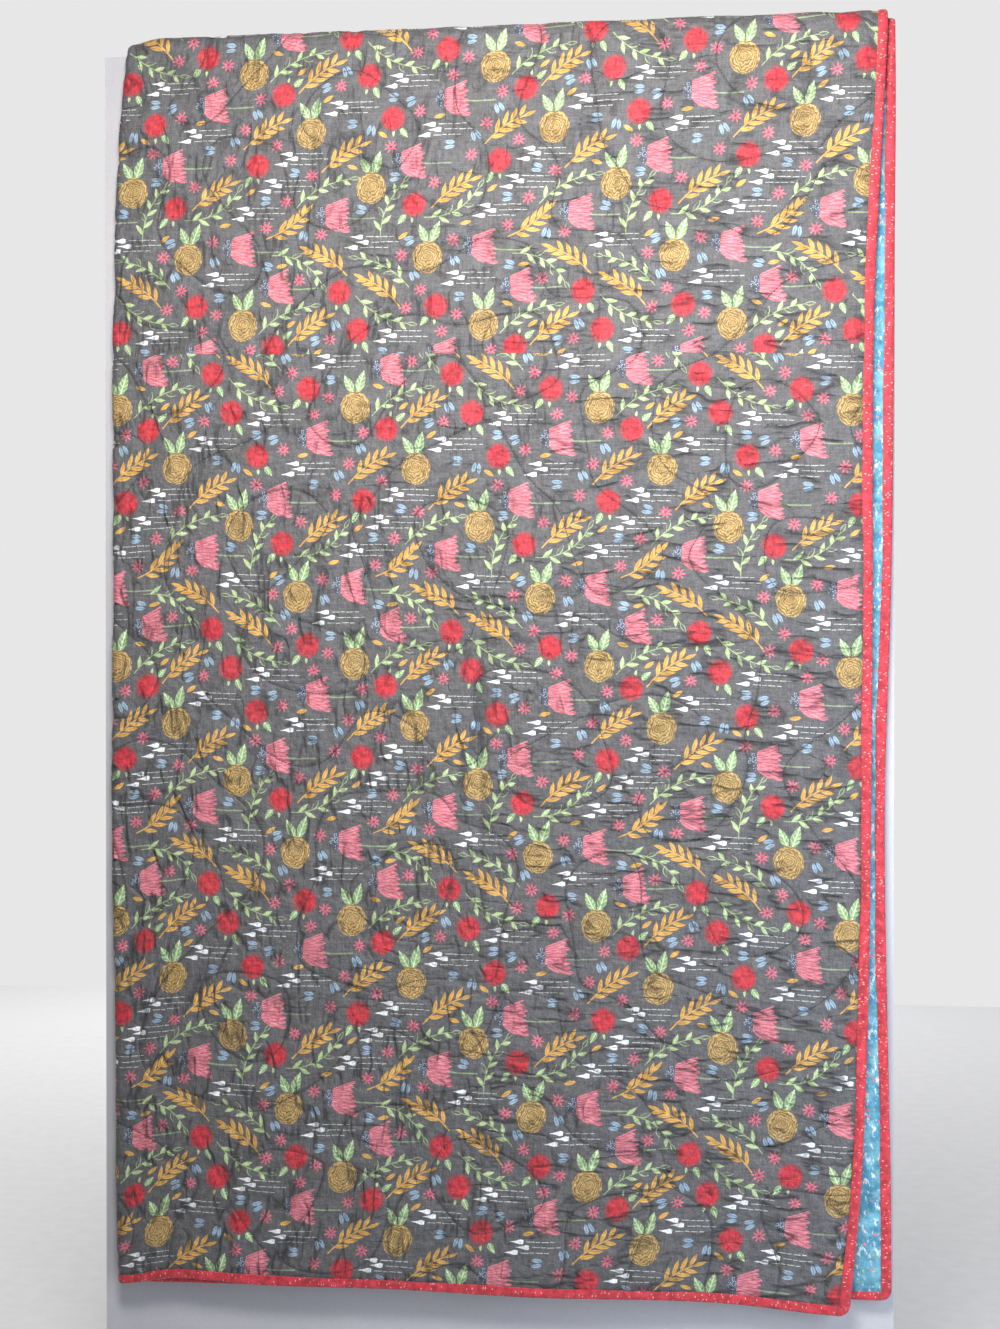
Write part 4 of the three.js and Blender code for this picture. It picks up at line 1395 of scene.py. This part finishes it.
def thread_material():
    shader = Shader("thread", roughness=0.6, sheen=0.1)
    grain = shader.noise(shader.node("TexCoord", {}, output=3), 1500, 2)
    colour = shader.ramp(grain, (0.35, 0.65), (srgb(30, 29, 32), srgb(52, 50, 54)))
    shader.feed(shader.surface.inputs["Base Color"], colour)
    return shader.material


def board_material():
    """Pale grey paint, rolled on, with faint clouds and a fine stipple."""
    shader = Shader("board_paint", roughness=0.55, sheen=0.0)
    place = shader.node("TexCoord", {}, output=3)
    clouds = shader.noise(place, 3.5, 4)
    colour = shader.ramp(clouds, (0.35, 0.65), (srgb(170, 170, 175), srgb(179, 179, 184)))
    stipple = shader.noise(place, 420, 3, 0.65)
    colour = shader.ramp(stipple, (0.4, 0.7), (colour, srgb(140, 142, 150)), (0, 0.16))
    shader.feed(shader.surface.inputs["Base Color"], colour)
    shader.feed(shader.surface.inputs["Roughness"], shader.between(clouds, 0.3, 0.7, 0.48, 0.62))
    shader.feed(shader.surface.inputs["Normal"], shader.bump(stipple, 0.0004, 0.5))
    return shader.material


def floor_material():
    """Pale, and glowing more the farther out it lies, so that it runs into the backdrop: painted light, which
    also lights the quilt a little from below.
    """
    shader = Shader("pale_floor", roughness=0.8, sheen=0.0)
    place = shader.node("TexCoord", {}, output=3)
    grain = shader.noise(place, 40, 3)
    colour = shader.ramp(grain, (0.35, 0.65), (srgb(200, 200, 202), srgb(206, 206, 207)))
    shader.feed(shader.surface.inputs["Base Color"], colour)
    reach = shader.length(place)
    # Painted light: the floor glows, faintly near the board and more far out
    shader.surface.inputs["Emission Color"].default_value = (0.97, 0.985, 1.0, 1)
    shader.feed(shader.surface.inputs["Emission Strength"], shader.between(reach, 0.2, 2.5, 0.08, 0.4))
    return shader.material


WORLD_LIGHT = 0.05

# The lamps: name, place, target, width, height, power, colour and spread in degrees
LAMPS = (
    ("key", (0.0, -1.0, 1.52), (0.5, 0.0, 0.95), 0.6, 0.35, 26, (1.0, 0.965, 0.94), 160),
    ("fill", (1.0, -0.8, 0.62), (0.15, 0.0, 0.75), 0.5, 0.9, 14, (0.76, 0.86, 1.0), 180),
    ("behind", (-0.7, 2.8, 2.3), (0.0, 0.0, 0.7), 1.8, 1.4, 75, (1.0, 0.98, 0.96), 180),
)


def area_light(name, place, target, width, height, power, colour, spread):
    data = bpy.data.lights.new(name, "AREA")
    data.shape = "RECTANGLE"
    data.size = width
    data.size_y = height
    data.energy = power
    data.color = colour
    data.spread = math.radians(spread)
    lamp = bpy.data.objects.new(name, data)
    lamp.location = place
    lamp.visible_camera = False
    lamp.rotation_euler = (Vector(place) - Vector(target)).to_track_quat("Z", "Y").to_euler()
    bpy.context.collection.objects.link(lamp)


def make_world():
    """A dim even light, which the camera itself sees as a pale backdrop."""
    world = bpy.data.worlds.new("studio")
    bpy.context.scene.world = world
    world.use_nodes = True
    tree = world.node_tree
    tree.nodes.clear()
    output = tree.nodes.new("ShaderNodeOutputWorld")
    mix = tree.nodes.new("ShaderNodeMixShader")
    path = tree.nodes.new("ShaderNodeLightPath")
    light = tree.nodes.new("ShaderNodeBackground")
    backdrop = tree.nodes.new("ShaderNodeBackground")
    light.inputs["Color"].default_value = (0.8, 0.88, 1.0, 1)
    light.inputs["Strength"].default_value = WORLD_LIGHT
    backdrop.inputs["Color"].default_value = (0.8, 0.8, 0.8, 1)
    tree.links.new(path.outputs["Is Camera Ray"], mix.inputs["Fac"])
    tree.links.new(light.outputs[0], mix.inputs[1])
    tree.links.new(backdrop.outputs[0], mix.inputs[2])
    tree.links.new(mix.outputs[0], output.inputs["Surface"])


def make_floor():
    mesh = bpy.data.meshes.new("floor")
    mesh.from_pydata([(-2.6, -2.6, 0), (2.6, -2.6, 0), (2.6, 2.6, 0), (-2.6, 2.6, 0)], [], [(0, 1, 2, 3)])
    floor = bpy.data.objects.new("floor", mesh)
    mesh.materials.append(floor_material())
    bpy.context.collection.objects.link(floor)


make_camera()
make_world()
make_floor()
for lamp in LAMPS:
    area_light(*lamp)

materials = print_materials()
repeat = lay_out_repeat()
lower = backing_panel("charcoal_lower", HIDDEN_EDGE, SEAM_V, LOWER_SHIFT, repeat, materials)
upper = backing_panel("charcoal_upper", SEAM_V, FULL_LENGTH - HIDDEN_EDGE, UPPER_SHIFT, repeat, materials)
inner_face = turquoise_sheet(turquoise_material())
edge = binding_ring(binding_material())
threads = stitches(thread_material())

for piece, node, slot in (
    (lower, "backing_lower", "floral_cotton"),
    (upper, "backing_upper", "floral_cotton"),
    (inner_face, "patchwork_top", "turquoise_cotton"),
    (edge, "binding", "red_binding"),
):
    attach(piece, "root")
    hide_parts(node)
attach(threads, "root")

paint = board_material()
for name in ("board", "foot_left", "foot_right"):
    node = frame["nodes"][name]
    node.data.materials.clear()
    node.data.materials.append(paint)

bpy.context.scene.view_settings.view_transform = "Standard"
